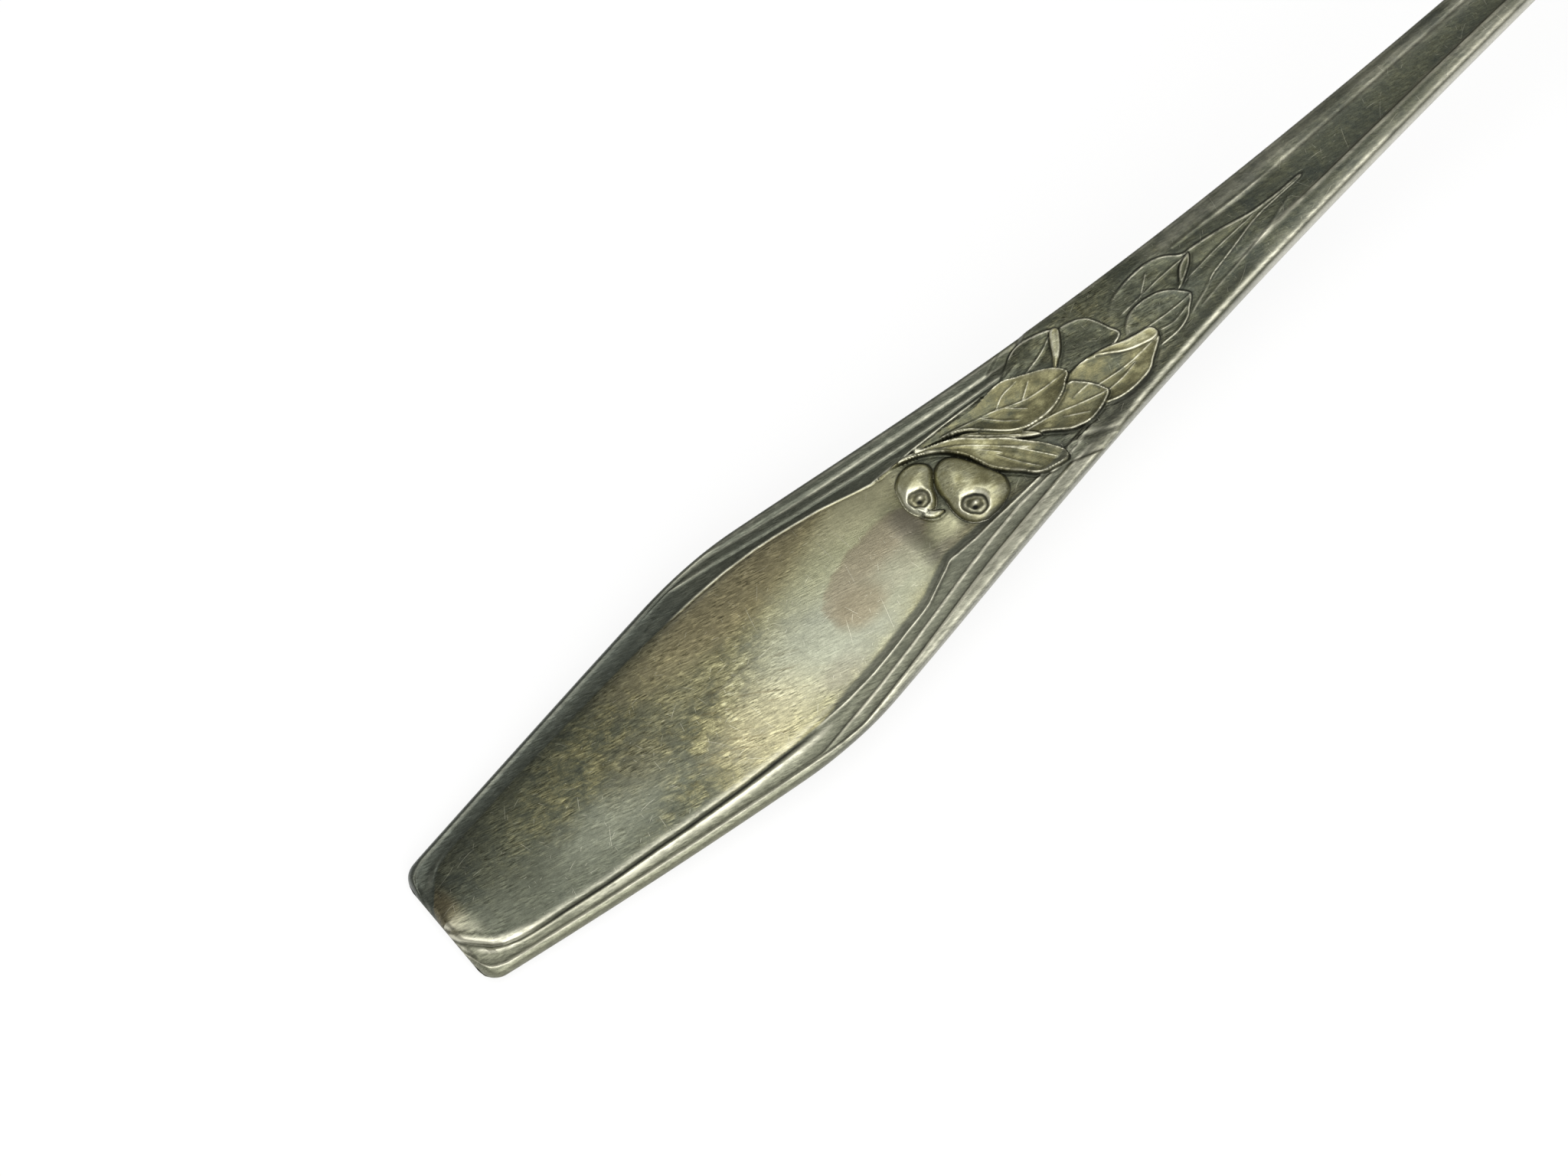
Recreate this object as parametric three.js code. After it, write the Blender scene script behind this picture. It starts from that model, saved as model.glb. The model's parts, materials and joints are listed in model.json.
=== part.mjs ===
import * as THREE from "three";

// A plated serving ladle, in millimetres. The bowl stands on the table at the origin and the handle
// runs out along +X, so that the ladle rests on the bowl's foot and on the tip of the handle.

// Bowl
const bowlRadius = 47;
const bowlHeight = 38;
const bowlWall = 1.3;
const footRadius = 12;
const bowlSegments = 48;

// Joint between the bowl and the handle's tongue
const fitGap = 0.3;
const seamThickness = 0.5;
const seamMargin = 0.7;
const tongueLength = 25;
const tongueHalf = 7;
const tongueEdge = 0.7;

// Handle, seen from the side
const handleReach = 208.8;
const rimDrop = 0.4;
const tipSlope = 3.3;
const neckSlope = 12;
const neckLength = 17;
const tipThickness = 2.6;
const bladeThickness = 2.9;
const stemThickness = 4.4;

// Handle, seen from above
const tipHalf = 7.75;
const tipCorner = 2;
const shoulderAt = 46.3;
const shoulderHalf = 14.5;
const shoulderRound = 3.5;
const stemHalf = 2.7;

// Struck border and panel
const edgeDrop = 1.2;
const ridgeInset = 0.9;
const borderStep = 1.3;
const tipBorder = 2.7;
const panelCorner = 3.3;
const panelRise = 0.85;
const panelLength = 68.8;
const frameLength = 87.8;
const fieldDepth = 0.75;
const channelDepth = 0.45;

// Struck sprig
const sprigLength = 45;
const leafRise = 0.7;
const fruitRise = 1.3;

const { clamp, lerp, smoothstep, degToRad } = THREE.MathUtils;

// Closes a row of rings, each with the same number of points, into one solid with a fan at each end.
// Each four-sided face is split along its shorter diagonal, so that slanting edges stay clean.
function loft(rings) {
  const count = rings[0].length;
  const points = rings.flat();
  const index = [];
  for (let i = 0; i + 1 < rings.length; i += 1) {
    for (let j = 0; j < count; j += 1) {
      const a = i * count + j;
      const b = i * count + ((j + 1) % count);
      const c = a + count;
      const d = b + count;
      if (points[b].distanceTo(points[c]) < points[a].distanceTo(points[d])) {
        index.push(a, b, c, b, d, c);
      } else {
        index.push(a, b, d, a, d, c);
      }
    }
  }
  const last = (rings.length - 1) * count;
  const first = points.push(middle(rings[0])) - 1;
  const end = points.push(middle(rings[rings.length - 1])) - 1;
  for (let j = 0; j < count; j += 1) {
    const next = (j + 1) % count;
    index.push(first, next, j);
    index.push(end, last + j, last + next);
  }
  const geometry = new THREE.BufferGeometry().setFromPoints(points);
  geometry.setIndex(index);
  return geometry;
}

function middle(ring) {
  const sum = ring.reduce((total, point) => total.add(point), new THREE.Vector3());
  return sum.divideScalar(ring.length);
}

// Even steps from just past one value up to another.
function steps(from, to, count) {
  return Array.from({ length: count }, (_, i) => lerp(from, to, (i + 1) / count));
}

// Bowl: a drawn cup with a flat foot, an even wall and a rounded rim.
const bowlSide = new THREE.CubicBezierCurve(
  new THREE.Vector2(footRadius, 0),
  new THREE.Vector2(lerp(footRadius, bowlRadius, 0.6), 0),
  new THREE.Vector2(bowlRadius, bowlHeight * 0.38),
  new THREE.Vector2(bowlRadius, bowlHeight - bowlWall / 2),
);
const sideLength = bowlSide.getLength();

// A point of the bowl's side, pushed out along its normal. The way along runs from the foot to the rim.
function sidePoint(along, offset) {
  const point = bowlSide.getPointAt(along);
  const tangent = bowlSide.getTangentAt(along);
  return new THREE.Vector2(point.x + tangent.y * offset, point.y - tangent.x * offset);
}

function bowlGeometry() {
  const side = [0, ...steps(0, 1, 14)];
  const rim = new THREE.Vector2(bowlRadius - bowlWall / 2, bowlHeight - bowlWall / 2);
  const rimArc = steps(0, 0.8, 4).map((part) => {
    const angle = part * Math.PI;
    return new THREE.Vector2(Math.cos(angle), Math.sin(angle)).multiplyScalar(bowlWall / 2).add(rim);
  });
  const outside = side.map((along) => sidePoint(along, 0));
  const inside = side.map((along) => sidePoint(along, -bowlWall)).reverse();
  const foot = new THREE.Vector2(0, 0);
  const well = new THREE.Vector2(0, bowlWall);
  const geometry = new THREE.LatheGeometry([foot, ...outside, ...rimArc, ...inside, well], bowlSegments);
  geometry.rotateX(Math.PI / 2);
  return geometry;
}

// Handle, side view: a slow rise from the tip to the rim.
const tipX = bowlRadius + handleReach;
const tipTop = tipThickness * Math.cos(degToRad(tipSlope));
const rimTop = bowlHeight - rimDrop;
const third = handleReach / 3;
const handleSide = new THREE.CubicBezierCurve(
  new THREE.Vector2(tipX, tipTop),
  new THREE.Vector2(tipX - third, tipTop + third * Math.tan(degToRad(tipSlope))),
  new THREE.Vector2(bowlRadius + third, rimTop - third * Math.tan(degToRad(neckSlope))),
  new THREE.Vector2(bowlRadius, rimTop),
);
const handleLength = handleSide.getLength();
const neckAt = handleLength - neckLength;

function sideFrame(at) {
  const along = clamp(at / handleLength, 0, 1);
  const top = handleSide.getPointAt(along);
  const way = handleSide.getTangentAt(along);
  return { top, way, up: new THREE.Vector2(way.y, -way.x) };
}

// Handle, top view: half widths at a distance from the tip.
const taper = new THREE.CubicBezierCurve(
  new THREE.Vector2(shoulderAt, shoulderHalf),
  new THREE.Vector2(lerp(shoulderAt, neckAt, 0.23), lerp(stemHalf, shoulderHalf, 0.655)),
  new THREE.Vector2(lerp(shoulderAt, neckAt, 0.34), lerp(stemHalf, shoulderHalf, 0.165)),
  new THREE.Vector2(neckAt, stemHalf),
).getPoints(80);

function upperHalf(at) {
  const found = taper.findIndex((point) => point.x >= at);
  const i = found < 0 ? taper.length - 1 : Math.max(found, 1);
  const from = taper[i - 1];
  const to = taper[i];
  return lerp(from.y, to.y, (at - from.x) / (to.x - from.x));
}

// What a rounded corner takes off a half width near the tip.
function cornerCut(at, radius) {
  const left = Math.max(radius - at, 0);
  return radius - Math.sqrt(radius ** 2 - left ** 2);
}

function lowerHalf(at) {
  const straight = lerp(tipHalf, shoulderHalf, at / shoulderAt);
  const bow = (0.9 * at * (shoulderAt - at)) / shoulderAt ** 2;
  return straight + Math.max(bow, 0) - cornerCut(at, tipCorner);
}

function outlineHalf(at) {
  const lower = lowerHalf(at);
  const upper = upperHalf(at);
  const overlap = Math.max(1 - Math.abs(lower - upper) / (shoulderRound / 2), 0);
  return Math.min(lower, upper) - (overlap ** 2 * shoulderRound) / 8;
}

// Half width of the raised panel, which runs on as the sunk field of the sprig and the stem's channel.
function panelHalf(at) {
  const border = lerp(tipBorder, tipBorder + borderStep, smoothstep(at, 8, shoulderAt));
  const blade = outlineHalf(at) + cornerCut(at, tipCorner) - border - cornerCut(at, panelCorner);
  const closing = smoothstep(at, shoulderAt + 6, panelLength) * 0.9;
  const field = upperHalf(at) * 0.56;
  return lerp(blade - closing, field, smoothstep(at, panelLength, frameLength));
}

function thickness(at) {
  const blade = lerp(tipThickness, bladeThickness, smoothstep(at, 0, shoulderAt));
  return lerp(blade, stemThickness, smoothstep(at, shoulderAt, neckAt - 20));
}

// Leaves lie from a base to a tip, full to the left and to the right of that line. Places are the way
// along from the panel's end and the way across from the middle line.
const leaves = [
  { base: [6, -5.6], tip: [17.4, 5.9], left: 1.7, right: 1.4 },
  { base: [8.5, -5.5], tip: [24.3, -1.2], left: 2.1, right: 2.7 },
  { base: [15.5, 0.3], tip: [26.2, 3.8], left: 1.3, right: 1.8 },
  { base: [18.5, -5.4], tip: [27, -6.3], left: 1.9, right: 1.4 },
  { base: [24.2, -1.4], tip: [31.8, -1.6], left: 0.9, right: 3.4 },
  { base: [24, 0.8], tip: [35, 2.7], left: 1.6, right: 2.6 },
  { base: [32.5, -1.2], tip: [44.4, -2.1], left: 1, right: 2.6 },
  { base: [33, 1], tip: [41.1, 1.8], left: 2.3, right: 2.2 },
];

// Fruits are rounded bodies, each with a dished crown.
const fruits = [
  { at: [3.3, -3.2], radius: 2.65, crown: [2, -1.6], crownRadius: 1.4 },
  { at: [7.4, 0.9], radius: 3.6, crown: [6, 3.1], crownRadius: 1.7 },
];

function leafLift({ base, tip, left, right }, place) {
  const start = new THREE.Vector2(...base);
  const way = new THREE.Vector2(...tip).sub(start);
  const length = way.length();
  const from = place.clone().sub(start);
  const part = from.dot(way) / length ** 2;
  const aside = from.cross(way) / length;
  if (part <= 0 || part >= 1) {
    return 0;
  }
  const full = (aside > 0 ? right : left) * Math.sin(Math.PI * part ** 0.85) ** 0.75;
  return leafRise * (1 - smoothstep(Math.abs(aside) / full, 0.35, 1.15));
}

function fruitLift({ at, radius, crown, crownRadius }, place) {
  const share = place.distanceTo(new THREE.Vector2(...at)) / radius;
  const body = fruitRise * Math.max(1 - share ** 2, 0) ** 0.7;
  const dish = 1 - smoothstep(place.distanceTo(new THREE.Vector2(...crown)), 0.3, crownRadius);
  return body * (1 - 0.65 * dish);
}

function sprigLift(at, across) {
  const place = new THREE.Vector2(at - panelLength, across);
  if (place.x < 0 || place.x > sprigLength) {
    return 0;
  }
  const leafLifts = leaves.map((leaf) => leafLift(leaf, place));
  const fruitLifts = fruits.map((fruit) => fruitLift(fruit, place));
  return Math.max(...leafLifts, ...fruitLifts);
}

// Half a section of the struck face: pairs of distance from the middle and height above the edge line.
function halfSection(at) {
  const half = outlineHalf(at);
  const panel = panelHalf(at);
  const upper = upperHalf(at);
  const plain = smoothstep(at, frameLength, frameLength + 5);
  const ridge = half - ridgeInset * lerp(0.6, 1, smoothstep(at, 0, 3));
  const lineA = Math.min(upper - ridgeInset - lerp(0.15, 0.4, plain), ridge - 0.1);
  const lineB = lineA - Math.min(borderStep, Math.max((lineA - panel) * 0.5, 0.25));
  const groove = Math.min(panel + 0.25, lineB - 0.4);
  const panelEdge = groove - 0.55;

  const frame = smoothstep(at, shoulderAt - 8, shoulderAt + 4);
  const sprig = smoothstep(at, panelLength - 6, panelLength + 1);
  const stemFrom = panelLength + sprigLength;
  const stem = smoothstep(at, stemFrom, stemFrom + 16) * (1 - smoothstep(at, neckAt - 14, neckAt));
  const level = (blade, framed, sunk, round, channel) => {
    const border = lerp(blade, framed, frame);
    return lerp(lerp(lerp(border, sunk, sprig), round, plain), channel, stem);
  };
  const cushion = [0, 0.22, 0.44, 0.64, 0.82, 0.93].map((share) => {
    const dome = panelRise * (1 - share ** 2.6);
    return [panelEdge * share, level(dome, dome - 0.25, -fieldDepth, 0.35 - 0.15 * share, -channelDepth)];
  });
  const border = [
    [panelEdge, level(0, -0.3, -fieldDepth, 0.18, -channelDepth)],
    [groove, level(-0.6, -fieldDepth - 0.1, -fieldDepth, 0.1, 0)],
    [lineB - 0.13, level(-0.45, -0.65, -0.65, 0.06, 0.1)],
    [lineB, level(-0.4, -0.35, -0.35, 0.04, 0.1)],
    [lineA - 0.13, level(-0.2, -0.38, -0.38, 0, 0.06)],
    [lineA, level(-0.12, -0.05, -0.05, -0.03, 0.03)],
    [ridge, level(0, 0, 0, -0.1, -0.08)],
  ];
  return [...cushion, ...border];
}

function mirrored(side) {
  const other = side.slice(1).map(([across, height]) => [-across, height]);
  return [...side, ...other.reverse()];
}

// A ring of the blade and stem: the struck face, the two edges and the plain back.
function bladeRing(at) {
  const { top, up } = sideFrame(at);
  const half = outlineHalf(at);
  const depth = thickness(at);
  const face = halfSection(at);
  const field = face[0][1];
  const edge = [half, -Math.min(edgeDrop, depth * 0.6)];
  const back = [half - Math.min(depth * 0.35, half * 0.45), -depth];
  const tipRound = 0.8 * Math.max(1 - at, 0) ** 2;
  return mirrored([...face, edge, back]).map(([across, height]) => {
    const lift = sprigLift(at, across);
    const struck = lift > 0 ? Math.max(height, field + lift) : height;
    const level = height > edge[1] ? struck - tipRound : height;
    return new THREE.Vector3(top.x + up.x * level, across, top.y + up.y * level);
  });
}

// Neck and tongue: the back of the stem sweeps down to the bowl and ends in a rounded point on its side.
const seat = 2 * fitGap + seamThickness;
const tongueEnd = 1 - tongueLength / sideLength;
const neckShare = 0.4;
const neckFrame = sideFrame(neckAt);
const neckBack = neckFrame.top.clone().addScaledVector(neckFrame.up, -thickness(neckAt));
const tongueBack = new THREE.CubicBezierCurve(
  neckBack,
  neckBack.clone().addScaledVector(neckFrame.way, neckLength * 0.62),
  sidePoint(lerp(tongueEnd, 1, 0.62), seat + tongueEdge * 3.2),
  sidePoint(tongueEnd, seat + tongueEdge),
);

function tongueWidth(part) {
  const flare = smoothstep(part, 0, 0.55);
  const rounding = Math.sqrt(Math.max(1 - (Math.max(part - 0.55, 0) / 0.45) ** 2.2, 0));
  return Math.max(lerp(outlineHalf(neckAt), tongueHalf, flare) * rounding, tongueEdge);
}

// Where the tongue lies on the bowl, with a clearance from its side.
function wallPoint(part, clearance) {
  const down = clamp((part - neckShare) / (1 - neckShare), 0, 1);
  const point = sidePoint(lerp(1, tongueEnd, down), clearance);
  point.y = lerp(rimTop, point.y, smoothstep(down, 0, 0.12));
  return point;
}

function onWall(point, across) {
  return new THREE.Vector3(Math.sqrt(point.x ** 2 - across ** 2), across, point.y);
}

function neckRing(part) {
  const half = tongueWidth(part);
  const back = tongueBack.getPoint(part);
  const onStem = Math.min(part / neckShare, 1);
  const stemTop = sideFrame(lerp(neckAt, handleLength - seat, onStem)).top;
  const top = part < neckShare ? stemTop : wallPoint(part, seat);
  const out = new THREE.Vector2().subVectors(back, top);
  const depth = out.length();
  out.normalize();
  const scale = half / outlineHalf(neckAt);
  const face = halfSection(neckAt).map(([across, height]) => [across * scale, height * (1 - onStem)]);
  const edgeDepth = lerp(edgeDrop, tongueEdge, part);
  const side = [...face, [half, -Math.min(edgeDepth, depth * 0.6)], [half * lerp(0.55, 0.4, part), -depth]];
  return mirrored(side).map(([across, height]) => {
    const start = part < neckShare ? new THREE.Vector3(top.x, across, top.y) : onWall(top, across);
    return start.add(new THREE.Vector3(-out.x * height, 0, -out.y * height));
  });
}

function handleGeometry() {
  const stemFrom = panelLength + sprigLength;
  const stations = [
    ...[0, 0.25, 0.6, 1.1, 1.8, 2.6, 3.4],
    ...steps(3.4, shoulderAt - 12, 7),
    ...steps(shoulderAt - 12, shoulderAt + 8, 10),
    ...steps(shoulderAt + 8, panelLength, 7),
    ...steps(panelLength, stemFrom, 60),
    ...steps(stemFrom, stemFrom + 16, 7),
    ...steps(stemFrom + 16, neckAt, 9),
  ];
  const neck = steps(0, 1, 15);
  return loft([...stations.map(bladeRing), ...neck.map(neckRing)]);
}

// Braze: an even skin on the bowl's side, a little wider than the tongue.
function seamGeometry() {
  const rings = [neckShare, ...steps(neckShare, 1, 12)].map((part) => {
    const half = tongueWidth(part) + seamMargin;
    const columns = [-half, ...steps(-half, half, 12)];
    const outer = wallPoint(part, fitGap + seamThickness);
    const inner = wallPoint(part, fitGap);
    const down = part === 1 ? seamMargin : 0;
    outer.y -= down;
    inner.y -= down;
    const behind = columns.map((across) => onWall(inner, across));
    const front = columns.map((across) => onWall(outer, across)).reverse();
    return [...behind, ...front];
  });
  return loft(rings);
}

const struckSilver = new THREE.MeshStandardMaterial({ color: 0x8f8c7e, roughness: 0.38, metalness: 1 });
const plainSilver = new THREE.MeshStandardMaterial({ color: 0xa8a69a, roughness: 0.3, metalness: 1 });
const braze = new THREE.MeshStandardMaterial({ color: 0xb0a888, roughness: 0.45, metalness: 1 });

function piece(name, geometry, material) {
  const mesh = new THREE.Mesh(geometry, material);
  mesh.name = name;
  return mesh;
}

const ladle = new THREE.Group();
ladle.name = "serving_ladle";
ladle.add(piece("bowl", bowlGeometry(), plainSilver));
ladle.add(piece("handle", handleGeometry(), struckSilver));
ladle.add(piece("braze_seam", seamGeometry(), braze));

export default ladle;
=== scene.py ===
import json
import math
import bpy
import numpy as np
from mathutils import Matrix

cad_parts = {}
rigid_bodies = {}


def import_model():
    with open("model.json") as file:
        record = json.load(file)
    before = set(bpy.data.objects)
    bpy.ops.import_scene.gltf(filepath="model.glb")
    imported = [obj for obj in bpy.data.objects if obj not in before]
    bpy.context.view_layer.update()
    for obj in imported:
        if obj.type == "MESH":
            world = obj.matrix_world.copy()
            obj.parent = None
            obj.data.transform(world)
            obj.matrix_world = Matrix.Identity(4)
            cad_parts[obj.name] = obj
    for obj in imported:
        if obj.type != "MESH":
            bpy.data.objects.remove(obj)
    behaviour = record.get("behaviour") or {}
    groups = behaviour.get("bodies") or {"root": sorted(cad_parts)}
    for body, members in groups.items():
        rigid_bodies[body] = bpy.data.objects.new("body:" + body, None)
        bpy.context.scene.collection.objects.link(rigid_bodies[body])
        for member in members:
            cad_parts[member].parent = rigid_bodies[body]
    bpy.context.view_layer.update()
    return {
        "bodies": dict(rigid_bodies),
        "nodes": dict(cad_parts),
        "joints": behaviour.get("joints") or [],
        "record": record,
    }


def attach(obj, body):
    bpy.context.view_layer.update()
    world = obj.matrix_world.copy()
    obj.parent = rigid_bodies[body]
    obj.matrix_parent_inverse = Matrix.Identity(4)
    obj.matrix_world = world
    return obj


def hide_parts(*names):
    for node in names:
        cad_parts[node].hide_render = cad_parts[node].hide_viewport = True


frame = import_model()
mm = 0.001
print("frame loaded, nodes:", len(frame["nodes"]))


# Sums on arrays

def ease(value, low, high):
    share = np.clip((value - low) / (high - low), 0, 1)
    return share * share * (3 - 2 * share)


def mix(first, second, share):
    return first + (second - first) * share


def span(value, start, full, fading, end):
    return ease(value, start, full) * (1 - ease(value, fading, end))


def bell(distance, width):
    return np.exp(-(distance / width) ** 2)


def bezier(corners, count):
    t = np.linspace(0, 1, count)[:, None]
    a, b, c, d = (np.array(corner, float) for corner in corners)
    return (1 - t) ** 3 * a + 3 * (1 - t) ** 2 * t * b + 3 * (1 - t) * t ** 2 * c + t ** 3 * d


def runLength(points):
    return np.concatenate([[0], np.cumsum(np.linalg.norm(np.diff(points, axis=0), axis=1))])


def soften(field, sigma):
    reach = int(sigma * 3) + 1
    weights = np.exp(-0.5 * (np.arange(-reach, reach + 1) / sigma) ** 2)
    weights /= weights.sum()
    for axis in (0, 1):
        padded = np.pad(field, [(reach, reach) if axis == k else (0, 0) for k in (0, 1)], mode="edge")
        size = field.shape[axis]
        field = sum(w * np.take(padded, range(i, i + size), axis=axis) for i, w in enumerate(weights))
    return field


# Sizes that the ladle's solids have too, in millimetres

bowlSize = {
    "radius": 47.0,
    "height": 38.0,
    "wall": 1.3,
    "foot": 12.0,
    "segments": 224,
    "rings": 44,
    "rimRound": 0.55,
    "smooth": 50,             # degrees
}

handleSize = {
    "reach": 208.8,
    "rimDrop": 0.4,
    "tipSlope": 3.3,
    "neckSlope": 12.0,
    "neckLength": 17.0,
    "tipThickness": 2.6,
    "bladeThickness": 2.9,
    "stemThickness": 4.4,
    "tipHalf": 7.75,
    "tipCorner": 2.0,
    "shoulderAt": 46.3,
    "shoulderHalf": 14.5,
    "shoulderRound": 3.5,
    "stemHalf": 2.7,
    "edgeDrop": 1.2,
    "photoTip": 0.8,          # the places below count from this far up from the tip
}

jointSize = {
    "seat": 1.1,              # tongue above the bowl's side
    "seamMargin": 0.9,
    "tongueLength": 25.0,
    "tongueHalf": 7.0,
    "tongueEdge": 0.7,
    "flareEnd": 0.55,
    "neckShare": 0.4,
}

# Bowl side, from the foot to the rim

bowlSide = bezier([
    (bowlSize["foot"], 0),
    (mix(bowlSize["foot"], bowlSize["radius"], 0.6), 0),
    (bowlSize["radius"], bowlSize["height"] * 0.38),
    (bowlSize["radius"], bowlSize["height"] - bowlSize["wall"] / 2),
], 1500)
bowlRun = runLength(bowlSide)
bowlSideLength = bowlRun[-1]
bowlRun /= bowlSideLength
bowlWay = np.gradient(bowlSide, axis=0)
bowlWay /= np.linalg.norm(bowlWay, axis=1)[:, None]


def sidePoint(along, offset):
    radius = np.interp(along, bowlRun, bowlSide[:, 0]) + offset * np.interp(along, bowlRun, bowlWay[:, 1])
    level = np.interp(along, bowlRun, bowlSide[:, 1]) - offset * np.interp(along, bowlRun, bowlWay[:, 0])
    return radius, level


# Handle's side view: a slow rise from the tip to the rim

tipX = bowlSize["radius"] + handleSize["reach"]
tipTop = handleSize["tipThickness"] * math.cos(math.radians(handleSize["tipSlope"]))
rimTop = bowlSize["height"] - handleSize["rimDrop"]
third = handleSize["reach"] / 3
handleWay = bezier([
    (tipX, tipTop),
    (tipX - third, tipTop + third * math.tan(math.radians(handleSize["tipSlope"]))),
    (bowlSize["radius"] + third, rimTop - third * math.tan(math.radians(handleSize["neckSlope"]))),
    (bowlSize["radius"], rimTop),
], 3000)
handleRun = runLength(handleWay)
handleTurn = np.gradient(handleWay, axis=0)
handleTurn /= np.linalg.norm(handleTurn, axis=1)[:, None]
neckAt = handleRun[-1] - handleSize["neckLength"]


def sideAt(at):
    x, z, wayX, wayZ = (
        np.interp(at, handleRun, column)
        for column in (handleWay[:, 0], handleWay[:, 1], handleTurn[:, 0], handleTurn[:, 1])
    )
    return x, z, wayZ, -wayX


# Handle's top view: half widths at a distance from the tip

shoulderEnd = np.array([handleSize["shoulderAt"], handleSize["shoulderHalf"]])
stemEnd = np.array([neckAt, handleSize["stemHalf"]])
taperShares = [(0, 0), (0.23, 0.345), (0.34, 0.835), (1, 1)]   # of the way and of the slimming
taper = bezier([mix(shoulderEnd, stemEnd, np.array(share)) for share in taperShares], 800)
taperSlope = (taper[1, 1] - taper[0, 1]) / (taper[1, 0] - taper[0, 0])


def upperHalf(at):
    before = np.minimum(at - handleSize["shoulderAt"], 0) * taperSlope
    return np.interp(at, taper[:, 0], taper[:, 1]) + before


def cornerCut(at, radius):
    left = np.maximum(radius - at, 0)
    return radius - np.sqrt(np.maximum(radius ** 2 - left ** 2, 0))


def outlineHalf(at):
    shoulder = handleSize["shoulderAt"]
    straight = mix(handleSize["tipHalf"], handleSize["shoulderHalf"], at / shoulder)
    bow = np.maximum(0.9 * at * (shoulder - at) / shoulder ** 2, 0)
    lower = straight + bow - cornerCut(at, handleSize["tipCorner"])
    upper = upperHalf(at)
    meet = np.maximum(1 - np.abs(lower - upper) / (handleSize["shoulderRound"] / 2), 0)
    return np.minimum(lower, upper) - meet ** 2 * handleSize["shoulderRound"] / 8


def thicknessAt(at):
    shoulder = handleSize["shoulderAt"]
    blade = mix(handleSize["tipThickness"], handleSize["bladeThickness"], ease(at, 0, shoulder))
    return mix(blade, handleSize["stemThickness"], ease(at, shoulder, neckAt - 20))


# Struck face: the lines that the die left, as half widths along the handle

faceLines = {
    "panelAt": [-0.8, -0.4, 0, 0.5, 1, 2, 3, 4, 5.5, 7.5, 10, 16, 22, 25, 33, 40, 44, 48, 52, 55, 57.2,
                60.6, 62.4, 64.4, 66, 67, 68.6, 70.5, 76, 80, 84, 88, 94, 100, 106, 112, 121, 130, 140, 150,
                165, 195],
    "panelHalf": [1.2, 2.3, 2.7, 3.3, 3.85, 4.95, 5.65, 6.05, 6.4, 6.75, 7.05, 7.95, 8.55, 8.95, 9.78,
                  10.24, 10.38, 10.35, 10.05, 9.6, 9.2, 8.5, 8.0, 7.42, 6.95, 6.7, 6.7, 6.6, 6.35, 6.05,
                  5.65, 5.2, 4.5, 3.9, 3.4, 2.95, 2.55, 2.27, 2.0, 1.78, 1.55, 1.35],
    "nearAt": [58, 62, 64.4, 66.2, 67.4, 69.7, 71.1, 73.6, 75, 77.3, 80, 84],
    "nearInset": [0, -0.2, 0.09, 0.3, 0.6, 0.5, 0.4, 0.42, 0.42, 0.3, 0.2, 0],
    "endAt": [-0.8, -0.46, -0.23, 0.3, 1, 2],
    "endInset": [2.2, 2.0, 1.1, 0.6, 0.3, 0],
    "inwardAt": [46, 52, 58, 66, 72, 84, 90],
    "inward": [0, -0.6, -0.6, 0.3, 1, 1, 0],
    "ridgeInset": 0.75,
    "upperInset": 0.5,
    "roll": 0.55,
    "leastBand": 1.1,
    "stepAt": [40, 44, 48, 52.4, 58.7, 67, 86],
    "outerStep": [0.7, 0.75, 0.82, 1.1, 1.37, 1.62, 1.68],
    "innerStep": [1.9, 2.1, 2.27, 2.55, 2.85, 3.05, 3.2],
    "field": -0.7,
    "cushion": 0.5,
    "channel": 0.42,
    "tipReed": [(-0.75, 2.5), (-0.3, 3.5), (0.2, 4.15), (1.07, 4.9), (2.0, 5.5), (3.2, 6.15)],
    # where the border's steps end: place, way across, slant
    "outerCut": (85.6, 7.3, 2.7),
    "innerCut": (87.2, 5.55, 1.85),
    "panelCut": 89,
    # bright and dark lines beside a struck one: offset, width, start, end,
    # and how strong they are on the handled side and on the far side
    "bright": [
        ("panel", 0.8, 0.3, 9, 46, 0.75, 0),
        # painted highlight along the panel's rounded edge at the tip, near side only
        ("panel", -0.4, 0.5, -5, 8, 1, 0),
        ("panel", 0.04, 0.11, 42, 84, 0.5, 0.8),
        ("innerReed", 0.07, 0.12, 44, 90, 1, 0),
        ("innerReed", 0.2, 0.1, 58, 90, 0, 0.7),
        ("outerReed", 0.12, 0.15, 44, 90, 1.2, 0),
        ("farReed", 0, 0.1, 44, 90, 0, 0.5),
        ("outerReed", 0.8, 0.55, 54, 96, 0.3, 0),
        ("panel", 0.12, 0.3, 114, 190, 0.7, 0),
        ("panel", 0.1, 0.2, 114, 190, 0, 0.25),
        ("ridge", -0.45, 0.45, 112, 190, 0.15, 0),
        ("ridge", -1.1, 1.0, 106, 190, 0, 0.26),
    ],
    "dark": [
        ("panel", -0.5, 0.4, 42, 84, 0.75, 0),
        ("panel", 0.2, 0.2, 5, 46, 1, 0),
        ("ridge", -1.1, 0.6, 84, 120, 0.8, 0),
    ],
}


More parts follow.
